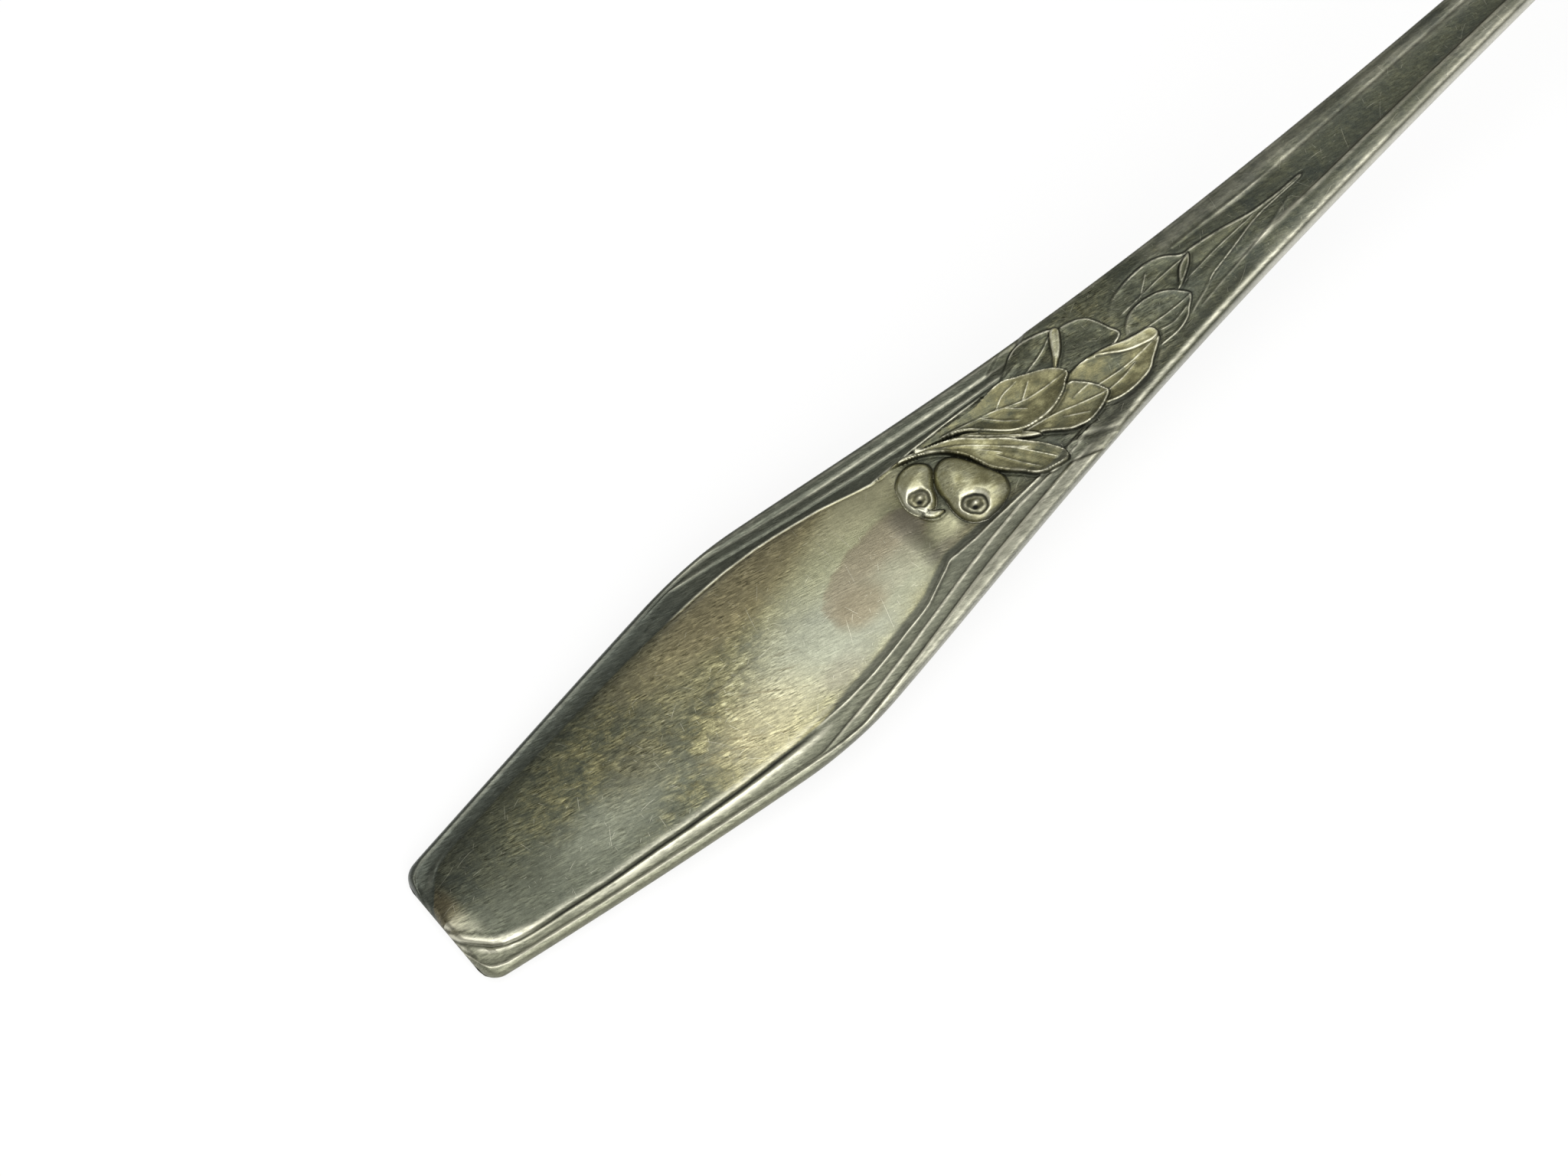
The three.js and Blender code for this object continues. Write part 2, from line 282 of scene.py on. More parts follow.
def linesAt(at, side=-1):
    place = at - handleSize["photoTip"]
    half = outlineHalf(at)
    framed = ease(place, 38, 47) if side > 0 else ease(place, 34, 42)
    panel = np.interp(place, faceLines["panelAt"], faceLines["panelHalf"])
    inset = mix(faceLines["ridgeInset"], faceLines["upperInset"], framed)
    ridge = half - inset * mix(0.7, 1, ease(place, -0.8, 2))
    ridge = ridge - np.interp(place, faceLines["endAt"], faceLines["endInset"])
    groove, roll, inward = 0 * place, faceLines["roll"] + 0 * place, 0 * place
    if side > 0:
        inward = np.interp(place, faceLines["inwardAt"], faceLines["inward"])
        panel = panel - np.interp(place, faceLines["nearAt"], faceLines["nearInset"])
        groove = span(place, 44, 50, 74, 80)
        roll = faceLines["roll"] * (1 + groove) + 0.75 * (1 - ease(place, 3, 10))
    panel = np.minimum(panel, ridge - faceLines["leastBand"])
    upper = upperHalf(at)
    outer, inner = (np.interp(place, faceLines["stepAt"], faceLines[k]) for k in ("outerStep", "innerStep"))
    outerReed = np.minimum(upper - outer, ridge - 0.12) - 0.25 * inward
    innerReed = np.maximum(np.minimum(upper - inner - 0.35 * inward, outerReed - 0.3), panel + 0.62)
    outerReed = np.minimum(np.maximum(outerReed, innerReed + 0.3), ridge - 0.1)
    return {
        "place": place, "half": half, "panel": panel, "ridge": ridge, "outerReed": outerReed,
        "innerReed": innerReed, "framed": framed, "groove": groove, "roll": roll,
    }


# One row of heights for each station, from a list of (way across, height) columns
def rowsFrom(columns, stations, across):
    aside = np.stack([np.broadcast_to(c[0], stations.shape) for c in columns], 1)
    level = np.stack([np.broadcast_to(c[1], stations.shape) for c in columns], 1)
    return np.stack([np.interp(across, aside[i], level[i]) for i in range(len(stations))])


def roundedEdge(lines, start):
    run = lines["half"] - lines["ridge"]
    drop = handleSize["edgeDrop"] + start
    edge = [
        (lines["ridge"] + run * t, start - drop * (1 - math.sqrt(1 - t * t)))
        for t in (0.25, 0.5, 0.75, 0.92, 1)
    ]
    beyond = -3.0  # past the edge, where nothing is read
    return edge + [(lines["half"] + aside, beyond) for aside in (0.5, 40)]


def framedSection(lines):
    place, panel, ridge = lines["place"], lines["panel"], lines["ridge"]
    outerReed, innerReed, framed = lines["outerReed"], lines["innerReed"], lines["framed"]
    sprig = ease(place, 64.5, 70.5)
    field = faceLines["field"]

    def band(aside):  # lower border: a hollow that rises to the ridge
        share = (aside - panel) / (ridge - panel)
        return np.interp(share, [0.4, 0.75, 0.9, 1], [-0.48, -0.5, -0.42, -0.3])

    def level(blade, frame, sunk):
        return mix(mix(blade, frame, framed), sunk, sprig)

    flat = panel - lines["roll"]
    rows = []
    for share in np.linspace(0, 1, 15):
        dome = faceLines["cushion"] * (1 - share ** 2.2)
        rows.append((flat * share, level(dome - 0.02, dome * 1.2 - 0.2, field)))
    edge = [
        (-0.36, -0.06, -0.34, field), (-0.2, -0.13, -0.48, field), (-0.07, -0.26, -0.42, -0.7),
        (0.03, -0.42, -0.33, -0.5), (0.12, -0.52, -0.4, -0.54), (0.28, -0.42, -0.58, -0.64),
    ]
    rows += [(panel + aside, level(*heights)) for aside, *heights in edge]
    middle = (panel + innerReed) / 2 + 0.05
    run = np.minimum(middle, panel + 1.1) - panel - 0.28
    for share, bead in ((0.2, -0.37), (0.36, -0.27), (0.52, -0.27), (0.68, -0.38), (0.86, -0.47)):
        frame, sunk = mix(-0.58, -0.66, share), mix(-0.64, -0.7, share)
        rows.append((panel + 0.28 + run * share, level(bead, frame, sunk)))
    rows.append((middle, level(band(middle), -0.67, -0.71)))
    for aside, frame in ((-0.16, -0.82), (-0.06, -0.81), (0.03, -0.68)):
        rows.append((innerReed + aside, level(band(innerReed + aside), frame, frame)))
    middle = (innerReed + outerReed) / 2
    rows.append((middle, level(band(middle), -0.77, -0.77)))
    for aside, frame in ((-0.16, -0.88), (-0.06, -0.84), (0.03, -0.66)):
        rows.append((outerReed + aside, level(band(outerReed + aside), frame, frame)))
    rows.append((ridge, level(-0.3, -0.7, -0.66)))
    return rows + roundedEdge(lines, level(-0.3, -0.7, -0.66))


def plainSection(lines):
    place, panel, ridge = lines["place"], lines["panel"], lines["ridge"]
    channel = ease(place, 117, 131)
    sunk = -faceLines["channel"]

    def level(share, cut):
        return mix(0.32 - 0.42 * share ** 2, cut, channel)

    stops = [
        (panel * 0, sunk), (panel * 0.5, sunk + 0.02), (panel - 0.3, sunk + 0.05),
        (panel - 0.12, sunk + 0.12), (panel, -0.12), (panel + 0.12, 0.04), (panel + 0.3, 0.1),
        ((panel + ridge) / 2 + 0.1, 0.1), (ridge, -0.08),
    ]
    rows = [(aside, level(aside / ridge, cut)) for aside, cut in stops]
    return rows + roundedEdge(lines, level(1, -0.08))


# Sprig: outlines of leaves and fruits, as (way along, way across) on the handle's face

sprigShift = (-0.4, 0.45)

leaves = {
    "bract": {
        "lift": 0.08, "rim": 0.07, "dish": 0.04, "cut": 0.02, "tone": 0.12, "fold": 0, "seen": 0,
        "root": (108, 0.4), "fade": (2.4, 5),
        "outline": [(108, -1.6), (110.5, -2.4), (113, -2.4), (117, -1.7), (121, -0.75), (125, -0.4),
                    (128.3, -0.35), (128.3, 0.05), (125, 0.1), (121, 0.25), (117, 1.0), (113, 1.7),
                    (110, 2.2)],
        "veins": [[(110, 0.1), (115, -0.2), (121, -0.3)]],
    },
    "endLeaf": {
        "lift": 0.06, "rim": 0.11, "dish": 0.12, "cut": 0.05, "tone": 0.06, "fold": 0.06, "seen": 0.2,
        "root": (101, -1.6), "fade": (1.5, 5),
        "outline": [(100, -2.2), (102, -4.0), (104, -4.55), (106, -4.75), (108, -4.7), (109.5, -4.3),
                    (110.5, -3.7), (111.5, -2.8), (112.5, -2.1), (111, -0.9), (109.3, 0.1), (107, 0.6),
                    (104, 0.4), (101, -0.4)],
        "veins": [[(102, -2.0), (106.5, -2.2), (109.6, -2.2), (112.2, -2.1)], [(105, -2.2), (107.2, -3.7)]],
    },
    "endFold": {
        "lift": 0.24, "rim": 0.08, "dish": 0.02, "cut": 0.05, "tone": 0.25, "fold": 0, "seen": 0.6,
        "root": (109, 0.3), "fade": (0, 0.8),
        "outline": [(109.0, 0.2), (109.9, -1.0), (110.9, -1.75), (112.4, -2.1), (111.9, -1.4), (110.9, -0.7)],
    },
    "sideLeaf": {
        "lift": 0.1, "rim": 0.12, "dish": 0.15, "cut": 0.06, "tone": 0.0, "fold": 0.07, "seen": 0.3,
        "root": (101.2, 1.2), "fade": (1, 4),
        "outline": [(100.5, 0.0), (102, -1.3), (104, -1.6), (106, -1.3), (107.5, -0.5), (108.5, 0.6),
                    (109.1, 1.7), (107.8, 2.8), (107, 3.4), (105.5, 3.9), (103.5, 3.95), (101.5, 3.6),
                    (100, 2)],
        "veins": [[(101.5, 1.0), (103.5, 1.3), (106.5, 1.6), (109, 1.7)],
                  [(103.8, 2.5), (105.4, 2.8), (107.6, 2.5)]],
    },
    "backLeaf": {
        "lift": 0.07, "rim": 0.09, "dish": 0.14, "cut": 0.03, "tone": 0.06, "fold": 0.06, "seen": 0.2,
        "faint": 0.1, "root": (93, -0.8), "fade": (2, 5),
        "outline": [(92, -1.2), (92.6, -3.4), (94, -5.4), (95.6, -5.85), (97.4, -5.4), (98.6, -4.6),
                    (99.2, -3.4), (99.6, -2), (99.9, -0.4), (97, 0.2), (94, -0.2)],
    },
    "upperLeaf": {
        "lift": 0.18, "rim": 0.12, "dish": 0.18, "cut": 0.06, "tone": 0.05, "fold": 0.06, "seen": 0.5,
        "root": (87, -4.6), "fade": (1, 4),
        "outline": [(85.4, -5.0), (86.6, -6.1), (88, -6.9), (90.3, -7.9), (92.4, -7.5), (94.9, -6.4),
                    (94.2, -5.0), (93, -3.6), (91.6, -2.4), (88.5, -3.6)],
        "veins": [[(87, -4.6), (89.5, -4.65), (92, -5.1), (94, -5.9)]],
    },
    "upperFold": {
        "lift": 0.42, "rim": 0.06, "dish": 0.05, "cut": 0.08, "tone": 1.2, "fold": 0, "seen": 0.8,
        "root": (92, -2.8), "fade": (0, 1.5),
        "outline": [(91.8, -2.6), (92.7, -3.8), (93.7, -5.3), (94.5, -6.2), (95.2, -6.3), (95.4, -5.8),
                    (94.8, -4.9), (93.9, -3.9), (93, -3.2)],
    },
    "longLeaf": {
        "lift": 0.24, "rim": 0.18, "dish": 0.2, "cut": 0.08, "tone": 0.52, "fold": 0.08, "seen": 0.6,
        "root": (91.6, 1.5), "fade": (1, 4),
        "spots": [(97.6, 1.6, 1.5, -0.35), (100.2, 2.4, 1.2, -0.15)],
        "outline": [(91.5, -0.6), (93.5, -0.95), (95.5, -0.7), (97.5, 0.5), (99.2, 1.6), (101, 2.3),
                    (102.9, 2.75), (102, 3.5), (100.6, 4.3), (99.5, 5), (98, 5.3), (95.6, 5.3), (93.6, 4.8),
                    (91.5, 3.4), (90.8, 1.2)],
        "veins": [[(92, 2.0), (94.5, 2.4), (96.5, 2.7), (99, 2.9), (102.4, 2.8)],
                  [(93, 3.4), (96, 3.6), (98.6, 3.3)]],
    },
    "longFold": {
        "lift": 0.46, "rim": 0.08, "dish": 0.04, "cut": 0.08, "tone": 0.7, "fold": 0, "seen": 0.8,
        "root": (95, -0.8), "fade": (0, 1.5),
        "outline": [(94.8, -0.9), (96.5, -0.6), (98, -0.15), (99.5, 0.5), (101, 0.95), (102.6, 1.3),
                    (103.1, 1.9), (103, 2.6), (102, 2.72), (101, 2.45), (99.5, 1.95), (98.3, 1.3),
                    (97.2, 0.5), (96, -0.3)],
    },
    "smallLeaf": {
        "lift": 0.42, "rim": 0.18, "dish": 0.2, "cut": 0.1, "tone": 0.42, "fold": 0.08, "seen": 0.8,
        "root": (84, 0.2), "fade": (0.5, 3),
        "outline": [(82.9, -0.2), (84.6, 1.0), (86.5, 2.5), (88, 3.8), (89.4, 4.5), (90.5, 4.75), (92, 4.6),
                    (93.5, 4.1), (94.2, 3.65), (94, 2.9), (93.5, 1.9), (92.6, 0.7), (91.4, -0.2), (88, 0.2),
                    (85, -0.3)],
        "veins": [[(84.2, 0.3), (88, 1.3), (91, 2.6), (94, 3.6)], [(88.6, 2.3), (90.8, 3.9)],
                  [(90.8, 1.5), (93.4, 1.6)], [(83.4, 0.2), (86.2, 2.2)]],
    },
    "stalk": {
        "lift": 0.5, "rim": 0.08, "dish": 0.06, "cut": 0.05, "tone": 0.3, "fold": 0.0, "seen": 0.7,
        "root": (74, -6.2), "fade": (0, 3),
        "outline": [(73.6, -6.5), (77, -5.15), (79.2, -4.2), (80.9, -2.8), (82.2, -1.5), (83.6, -0.4),
                    (84.6, 0.75), (85.4, 1.95), (84.2, 1.25), (82.6, -0.1), (80.3, -2.3), (78.2, -4.2),
                    (75.4, -5.7)],
        "veins": [[(76.5, -5.2), (79, -3.9), (81, -2.0), (83.4, 0.2)]],
    },
    "calyx": {
        "lift": 0.5, "rim": 0.05, "dish": 0, "cut": 0.08, "tone": 1.2, "fold": 0, "seen": 1,
        "root": (69.0, -0.1), "fade": (0, 0.2),
        "outline": [(69.05, -0.1), (69.5, -0.15), (69.95, 0.0), (70.6, 0.45), (71.2, 0.95), (70.5, 1.0),
                    (69.7, 0.7)],
    },
    "calyxCurl": {
        "lift": 0.55, "rim": 0.05, "dish": 0, "cut": 0.08, "tone": 1.2, "fold": 0, "seen": 1,
        "root": (69.1, -1.3), "fade": (0, 0.2),
        "outline": [(69.05, -1.2), (69.5, -0.95), (69.8, -0.25), (69.4, -0.2), (69.15, -0.75)],
    },
    "fruitLeaf": {
        "lift": 0.6, "rim": 0.18, "dish": 0.16, "cut": 0.1, "tone": 0.44, "fold": 0.07, "seen": 0.7,
        "dim": 0.25, "root": (70, -6.9), "fade": (0, 2),
        "spots": [(78.2, -2.0, 2.0, 0.34), (79.4, 1.2, 1.6, 0.24), (82.0, 1.9, 1.1, -0.22),
                  (84.8, 5.0, 1.4, -0.15)],
        "outline": [(68.6, -7.0), (70, -6.95), (72, -6.5), (74, -5.6), (76, -4.1), (77.3, -2.3),
                    (77.9, -0.8), (78.4, 0.8), (79.5, 2.4), (80.6, 3.6), (81.5, 4.8), (82.6, 5.5),
                    (84, 5.9), (85.5, 6.1), (85.9, 5.4), (85.6, 4.4), (84.7, 2.8), (83.3, 1), (82.3, -0.3),
                    (80, -2.5), (78, -4.4), (75, -5.9), (72, -6.9)],
        "veins": [[(74.5, -5.6), (77.5, -3.6), (79.4, -1.8), (81.4, 0.3), (83.2, 2.8), (84.6, 5)],
                  [(80, 0.4), (81.2, 2.6), (82.5, 4.6)], [(81.2, 0), (83.3, 2.2)], [(79, -1.6), (80.5, 0.3)]],
    },
    "bigLeaf": {
        "lift": 0.72, "rim": 0.18, "dish": 0.24, "cut": 0.12, "tone": 0.5, "fold": 0.1, "seen": 0.7,
        "dim": 0.7, "footFaint": 0.36, "root": (76, -6.1), "fade": (0, 3),
        "spots": [(91.0, -2.0, 1.6, 0.24), (83.8, -4.1, 1.5, -0.3), (86.4, -3.0, 1.2, -0.15),
                  (85.5, -0.6, 1.0, 0.18)],
        "outline": [(73.5, -6.6), (75, -6.1), (78, -5.05), (79.5, -4.3), (81, -2.8), (82.2, -1.5),
                    (83.2, -0.6), (84.6, 0.2), (86, 0.55), (87.5, 0.72), (89, 0.6), (90.5, 0.15),
                    (91.5, -0.5), (92.4, -1.1), (92, -2.1), (91, -3.1), (89.5, -4.1), (88, -5),
                    (86.7, -5.75), (85, -5.95), (82, -5.7), (79, -6.1), (76, -6.6)],
        "veins": [[(77, -5.6), (80, -4.75), (83, -3.9), (86, -2.7), (88, -2), (92.2, -1.25)],
                  [(83.6, -3.7), (85.4, -4.5), (87.4, -4.6)], [(81.8, -4.1), (83.2, -2.4), (84.6, -1.1)],
                  [(84.6, -3.2), (86.2, -1.6)], [(86.6, -2.5), (88.4, -3.5)]],
    },
}

leafShape = {
    "rimWidth": 0.24,
    "dishWidth": 0.9,
    "vein": (0.13, 0.17),     # rise and width
    "besideVein": (0.09, 0.55),
    "sideVeins": 0.6,         # against the midrib's depth
    "foldWidth": 0.9,
    "cutOutside": 0.18,
    "cutWidth": 0.2,
    "patchy": (0.65, 1.3),
}

# what is struck first lies behind
leafOrder = {
    "behind": ["bract", "endLeaf", "endFold", "sideLeaf", "backLeaf", "upperLeaf", "upperFold", "longLeaf",
               "longFold"],
    "between": ["smallLeaf", "stalk"],
    "over": ["calyx", "calyxCurl", "fruitLeaf", "bigLeaf"],
}

fruits = [
    {
        "rise": 1.3, "round": 2.1, "tone": 1.02, "crown": (70.0, -1.82), "crownRadius": 1.26, "long": 0.08,
        "turn": 0.5, "glint": -1.92,
        "outline": [(70.4, -5.5), (71.6, -5.65), (72.6, -5.3), (73.35, -4.55), (73.4, -3.8), (72.65, -2.8),
                    (72.0, -2.1), (71.5, -1.0), (70.85, -0.3), (69.9, 0.0), (69.1, -0.3), (68.5, -1.4),
                    (68.45, -2.5), (68.85, -3.7), (69.35, -4.8)],
    },
    {
        "rise": 1.4, "round": 2.7, "tone": 0.92, "crown": (74.08, 2.96), "crownRadius": 1.42, "long": 0.13,
        "turn": 0.78, "glint": -0.44,
        "outline": [(72.4, 0.2), (72.6, -1.3), (73.3, -2.7), (74.3, -3.4), (75.4, -3.45), (76.4, -2.7),
                    (77.2, -1.4), (77.8, 0), (78.4, 1.5), (78.7, 2.7), (78.2, 3.9), (77, 4.6), (75.6, 4.9),
                    (74, 4.85), (72.8, 4.1), (72.2, 3.1), (72.1, 1.8)],
    },
]

crownShape = {
    "flat": 0.62,             # of the fruit's height
    "floor": 0.22,
    "ring": (0.16, 0.12, 0.15),         # depth, way in from the crown's edge, width
    "waves": (0.025, 0.45, 0.25),
    "bud": (0.1, -0.08, 0.46, 0.26),    # middle and half widths
    "budRise": 0.26,
    "hole": (-0.3, 0.32, 0.3, 0.26),
    "holeDepth": 0.24,
}

stemRidges = [
    [(111.8, -4.05), (114.5, -3.85), (117.8, -3.6), (122, -3.2), (128, -2.75)],
    [(109, 3.6), (112, 3.2), (116, 2.8), (120, 2.3), (123, 1.6), (126, 0.8)],
    [(104.5, 4.1), (108, 3.3), (112, 2.2), (117, 1.1), (121, 0.35)],
]


def smoothLoop(points, closed=True):
    points = np.array(points, float) + sprigShift
    count = len(points)
    if closed:
        rows = [points[[i - 1, i, (i + 1) % count, (i + 2) % count]] for i in range(count)]
    else:
        ends = np.vstack([2 * points[0] - points[1], points, 2 * points[-1] - points[-2]])
        rows = [ends[i:i + 4] for i in range(count - 1)]
    steps = 7  # from one given point to the next
    t = np.linspace(0, 1, steps, endpoint=False)[:, None]
    parts = [
        b + 0.5 * ((c - a) * t + (2 * a - 5 * b + 4 * c - d) * t ** 2 + (3 * b - a - 3 * c + d) * t ** 3)
        for a, b, c, d in rows
    ]
    return np.vstack(parts + ([] if closed else [points[-1:]]))


def lineDistance(along, across, line, closed):
    ends = np.roll(line, -1, axis=0) if closed else line[1:]
    nearest = np.full(along.shape, 1e9)
    for (a, b), (c, d) in zip(line, ends):
        run = (c - a) ** 2 + (d - b) ** 2
        share = np.clip(((along - a) * (c - a) + (across - b) * (d - b)) / max(run, 1e-9), 0, 1)
        gap = (along - a - share * (c - a)) ** 2 + (across - b - share * (d - b)) ** 2
        nearest = np.minimum(nearest, gap)
    return np.sqrt(nearest)


def insideLoop(along, across, line):
    odd = np.zeros(along.shape, bool)
    for (a, b), (c, d) in zip(line, np.roll(line, -1, axis=0)):
        if b != d:
            crosses = (b > across) != (d > across)
            odd ^= crosses & (along < (c - a) * (across - b) / (d - b) + a)
    return odd


struckGrain = {
    "seed": 11,
    "fine": (0.35, 0.02, 0.22),         # size, height and share of the patchiness
    "broad": (1.3, 0.045, 0.3),
}

reliefPaint = {
    "fine": 0.24,             # size of what counts as an edge or a hollow
    "broad": 0.8,
    "fineCrest": (13, 0.8),   # gain and share
    "broadCrest": (2.0, 0.25),
    "fineHollow": (9, 0.6),
    "broadHollow": (2.6, 0.5),
    "lineCrest": 1.2,
}


class StruckFace:
    # Heights of the struck face above the ridge line, on an even grid in millimetres
    def __init__(self, step=0.08):
        self.step = step
        self.at = np.arange(0, neckAt + step, step)
        self.across = np.arange(-15.6, 15.6 + step, step)
        near, aside = self.across > 0, np.abs(self.across)[None, :]
        sides = [linesAt(self.at, side) for side in (-1, 1)]
        framed, plain = (
            np.concatenate([rowsFrom(section(lines), self.at, aside[0, half])
                            for lines, half in zip(sides, (~near, near))], 1)
            for section in (framedSection, plainSection)
        )
        self.place = sides[0]["place"]
        place = self.place[:, None]
        panel, ridge, outerReed, innerReed, groove = (
            np.where(near, sides[1][k][:, None], sides[0][k][:, None])
            for k in ("panel", "ridge", "outerReed", "innerReed", "groove")
        )
        # the border's two steps end in slanting cuts
        (outerPlace, outerAside, outerSlant), (innerPlace, innerAside, innerSlant) = (
            faceLines[k] for k in ("outerCut", "innerCut"))
        outerEnd = outerPlace + (aside - outerAside) * outerSlant
        outside = ease(aside, outerReed - 0.25, outerReed - 0.05)
        ended = outside * ease(place, outerEnd - 0.3, outerEnd + 0.3)
        framed = mix(framed, np.minimum(framed, -0.9), ended)
        innerEnd = innerPlace + (aside - innerAside) * innerSlant
        innerEnd = np.where(aside > innerAside, innerEnd, faceLines["panelCut"])
        width = mix(3.0, 0.85, ease(aside, panel - 0.8, panel + 0.2))
        self.level = mix(framed, plain, ease(place, innerEnd - width, innerEnd + width))
        self.tone, self.leafy = np.zeros_like(self.level), np.zeros_like(self.level)
        self.border = ease(aside, panel - mix(0.15, 1.15, groove), panel + mix(0.1, -0.65, groove))
        self.border = self.border * (1 - ease(place, 84, 90))
        self.inside, self.panel = aside < ridge, panel
        self.ridgeLevel = np.take_along_axis(
            self.level, np.searchsorted(self.across, sides[0]["ridge"])[:, None] - 1, axis=1)

        struck = {"panel": panel, "ridge": ridge, "outerReed": outerReed, "innerReed": innerReed}
        struck["farReed"] = outerReed - 0.3 * (1 - ease(place, 55, 70))

        def line(name, offset, width, start, end, nearShare, farShare):
            run = bell(aside - (struck[name] + offset), width) * span(place, start, start + 6, end - 6, end)
            return run * np.where(near, nearShare, farShare)

        # lines that are worn bright, mostly on the side that is handled, with a painted highlight along the
        # panel's rounded edge at the tip
        past = ease(place, 38, 50)
        handled = np.where(near, mix(1, 0.4, past), mix(0.12, 0.3, past))
        width = np.where(near, mix(0.14, 0.24, ease(place, 84, 96)), 0.15)
        handled = handled + near * 0.45 * ease(place, 84, 94)
        inset = 0.02 + 0.2 * span(place, 90, 100, 112, 124) * near
        self.rim = bell(aside - ridge + inset, width) * handled
        self.rim += sum(line(*row) for row in faceLines["bright"])
        self.handled = np.where(near, 1, mix(0.08, 0.65, ease(place, 34, 43)))
        self.handled = self.handled * (1 - line("panel", 0.04, 0.3, 42, 82, 0.45, 0))
        cut = span(place, 82, 85, 92, 96) * ease(aside, panel - 0.6, panel)
        self.handled = self.handled * (1 - 0.75 * cut)
        # painted shade: dark lines in the grooves along the panel's edge, and in the trough inside the near
        # edge where the stem begins
        self.shade = sum(line(*row) for row in faceLines["dark"])
        # on the far side the blade's groove is worn almost flat
        worn = ease(ridge - aside, -0.2, 0.5) * ~near * 0.9 * (1 - ease(place, 34, 40))
        self.level = mix(self.level, soften(self.level, 0.5 / step), worn)
        self.base = soften(self.level, 1.0 / step)
        self.edge, self.near, self.vein, self.veinNear = (np.ones_like(self.level) for _ in range(4))
        chance = np.random.default_rng(struckGrain["seed"])
        self.chased, self.patchy = 0, 0.5
        for size, height, share in (struckGrain["fine"], struckGrain["broad"]):
            field = soften(chance.standard_normal(self.level.shape), size / step)
            field /= field.std()
            self.chased = self.chased + height * field
            self.patchy = self.patchy + share * field
        self.patchy = np.clip(self.patchy, 0, 1)

    def window(self, line):
        margin = 1.2
        low, high = line.min(0) - margin, line.max(0) + margin
        rows = slice(*np.searchsorted(self.place, (low[0], high[0])))
        columns = slice(*np.searchsorted(self.across, (low[1], high[1])))
        along, across = np.meshgrid(self.place[rows], self.across[columns], indexing="ij")
        return (rows, columns), along, across

    def depthInside(self, line):
        spot, along, across = self.window(line)
        gap = lineDistance(along, across, line, True)
        return spot, along, across, np.where(insideLoop(along, across, line), gap, -gap)

    def addLeaf(self, leaf):
        line = smoothLoop(leaf["outline"])
        spot, along, across, depth = self.depthInside(line)
        inner = np.maximum(depth, 0)
        root = np.array(leaf["root"]) + sprigShift
        length = np.hypot(along - root[0], across - root[1])
        grown = ease(length, leaf["fade"][0], leaf["fade"][1])
        body = self.base[spot] + leaf["lift"] + leaf["rim"] * bell(inner, leafShape["rimWidth"]) * grown
        body -= leaf["dish"] * (1 - bell(inner, leafShape["dishWidth"]))
        body += self.chased[spot] * ease(inner, 0, 0.6)
        (rise, width), (sink, reach) = leafShape["vein"], leafShape["besideVein"]
        ribs = [np.ones_like(depth), np.ones_like(depth)]
        for k, vein in enumerate(leaf.get("veins", ())):
            path = smoothLoop(vein, False)
            gap = lineDistance(along, across, path, False)
            gaps = (along[..., None] - path[:, 0]) ** 2 + (across[..., None] - path[:, 1]) ** 2
            closest = np.argmin(gaps, axis=-1)
            nearest, way = path[closest], np.gradient(path, axis=0)[closest]
            turn = (along - nearest[..., 0]) * way[..., 1] - (across - nearest[..., 1]) * way[..., 0]
            first = gap < ribs[1]
            ribs = [np.where(first, np.clip(np.sign(turn) * gap, -1, 1), ribs[0]),
                    np.where(first, np.clip(gap, 0, 1), ribs[1])]
            deep = 1 if k == 0 else leafShape["sideVeins"]
            body += deep * (rise * bell(gap, width) - sink * bell(gap, reach))
            if k == 0:  # each half of the leaf leans its own way from the midrib
                way = path[-1] - path[0]
                side = (along - path[0][0]) * way[1] - (across - path[0][1]) * way[0]
                body += leaf["fold"] * np.tanh(side / np.hypot(*way) / leafShape["foldWidth"])
        cover = ease(depth, -0.12, 0.06) * mix(leaf["seen"], 1, grown)
        under = leaf["cut"] * bell(depth + leafShape["cutOutside"], leafShape["cutWidth"]) * grown
        self.level[spot] = mix(self.level[spot] - under * (1 - cover), body, cover)
        tone = leaf["tone"] * mix(*leafShape["patchy"], self.patchy[spot])
        # painted shade: the leaf is darker towards its root and where a spot lowers its tone; spots that
        # raise it make paler patches
        tone = tone * mix(1 - leaf.get("dim", 0), 1, ease(length, 4, 9))
        for u, v, size, change in leaf.get("spots", ()):
            away = np.hypot(along - u - sprigShift[0], across - v - sprigShift[1])
            tone = tone + change * bell(away, size)
        self.tone[spot] = mix(self.tone[spot], np.maximum(tone, 0), cover)
        self.leafy[spot] = np.maximum(self.leafy[spot], cover)
        self.rim[spot] *= 1 - cover
        self.shade[spot] *= 1 - cover
        # painted highlight: edges that face the light on the near side are the brightest, edges turned away
        # are fainter
        turned = ease(-np.gradient(depth, self.step, axis=1), -0.7, 0.4)
        hidden = 0.12 + leaf.get("footFaint", 0) * (1 - ease(length, 5, 9))
        away = np.abs(depth) + 1 - grown + hidden * (1 - turned) + leaf.get("faint", 0)
        self.markEdge(spot, depth * mix(0.55, 1, turned), away, depth > 0)
        self.vein[spot] = np.where(depth > 0, ribs[0], self.vein[spot])
        self.veinNear[spot] = np.where(depth > 0, ribs[1], self.veinNear[spot])

    # signed distance from the nearest edge that is in sight, and how near it is
    def markEdge(self, spot, gap, away, over):
        take = over | (away < self.near[spot])
        self.edge[spot] = np.where(take, np.clip(gap, -1, 1), self.edge[spot])
        self.near[spot] = np.where(take, np.clip(away, 0, 1), self.near[spot])

    def addFruit(self, fruit):
        line = smoothLoop(fruit["outline"])
        spot, along, across, depth = self.depthInside(line)
        depth = depth + 0.2
        share = np.clip(np.maximum(depth, 0) / fruit["round"], 0, 1)
        body = self.base[spot] * 0.5 - 0.42 + fruit["rise"] * np.sqrt(1 - (1 - share) ** 2)
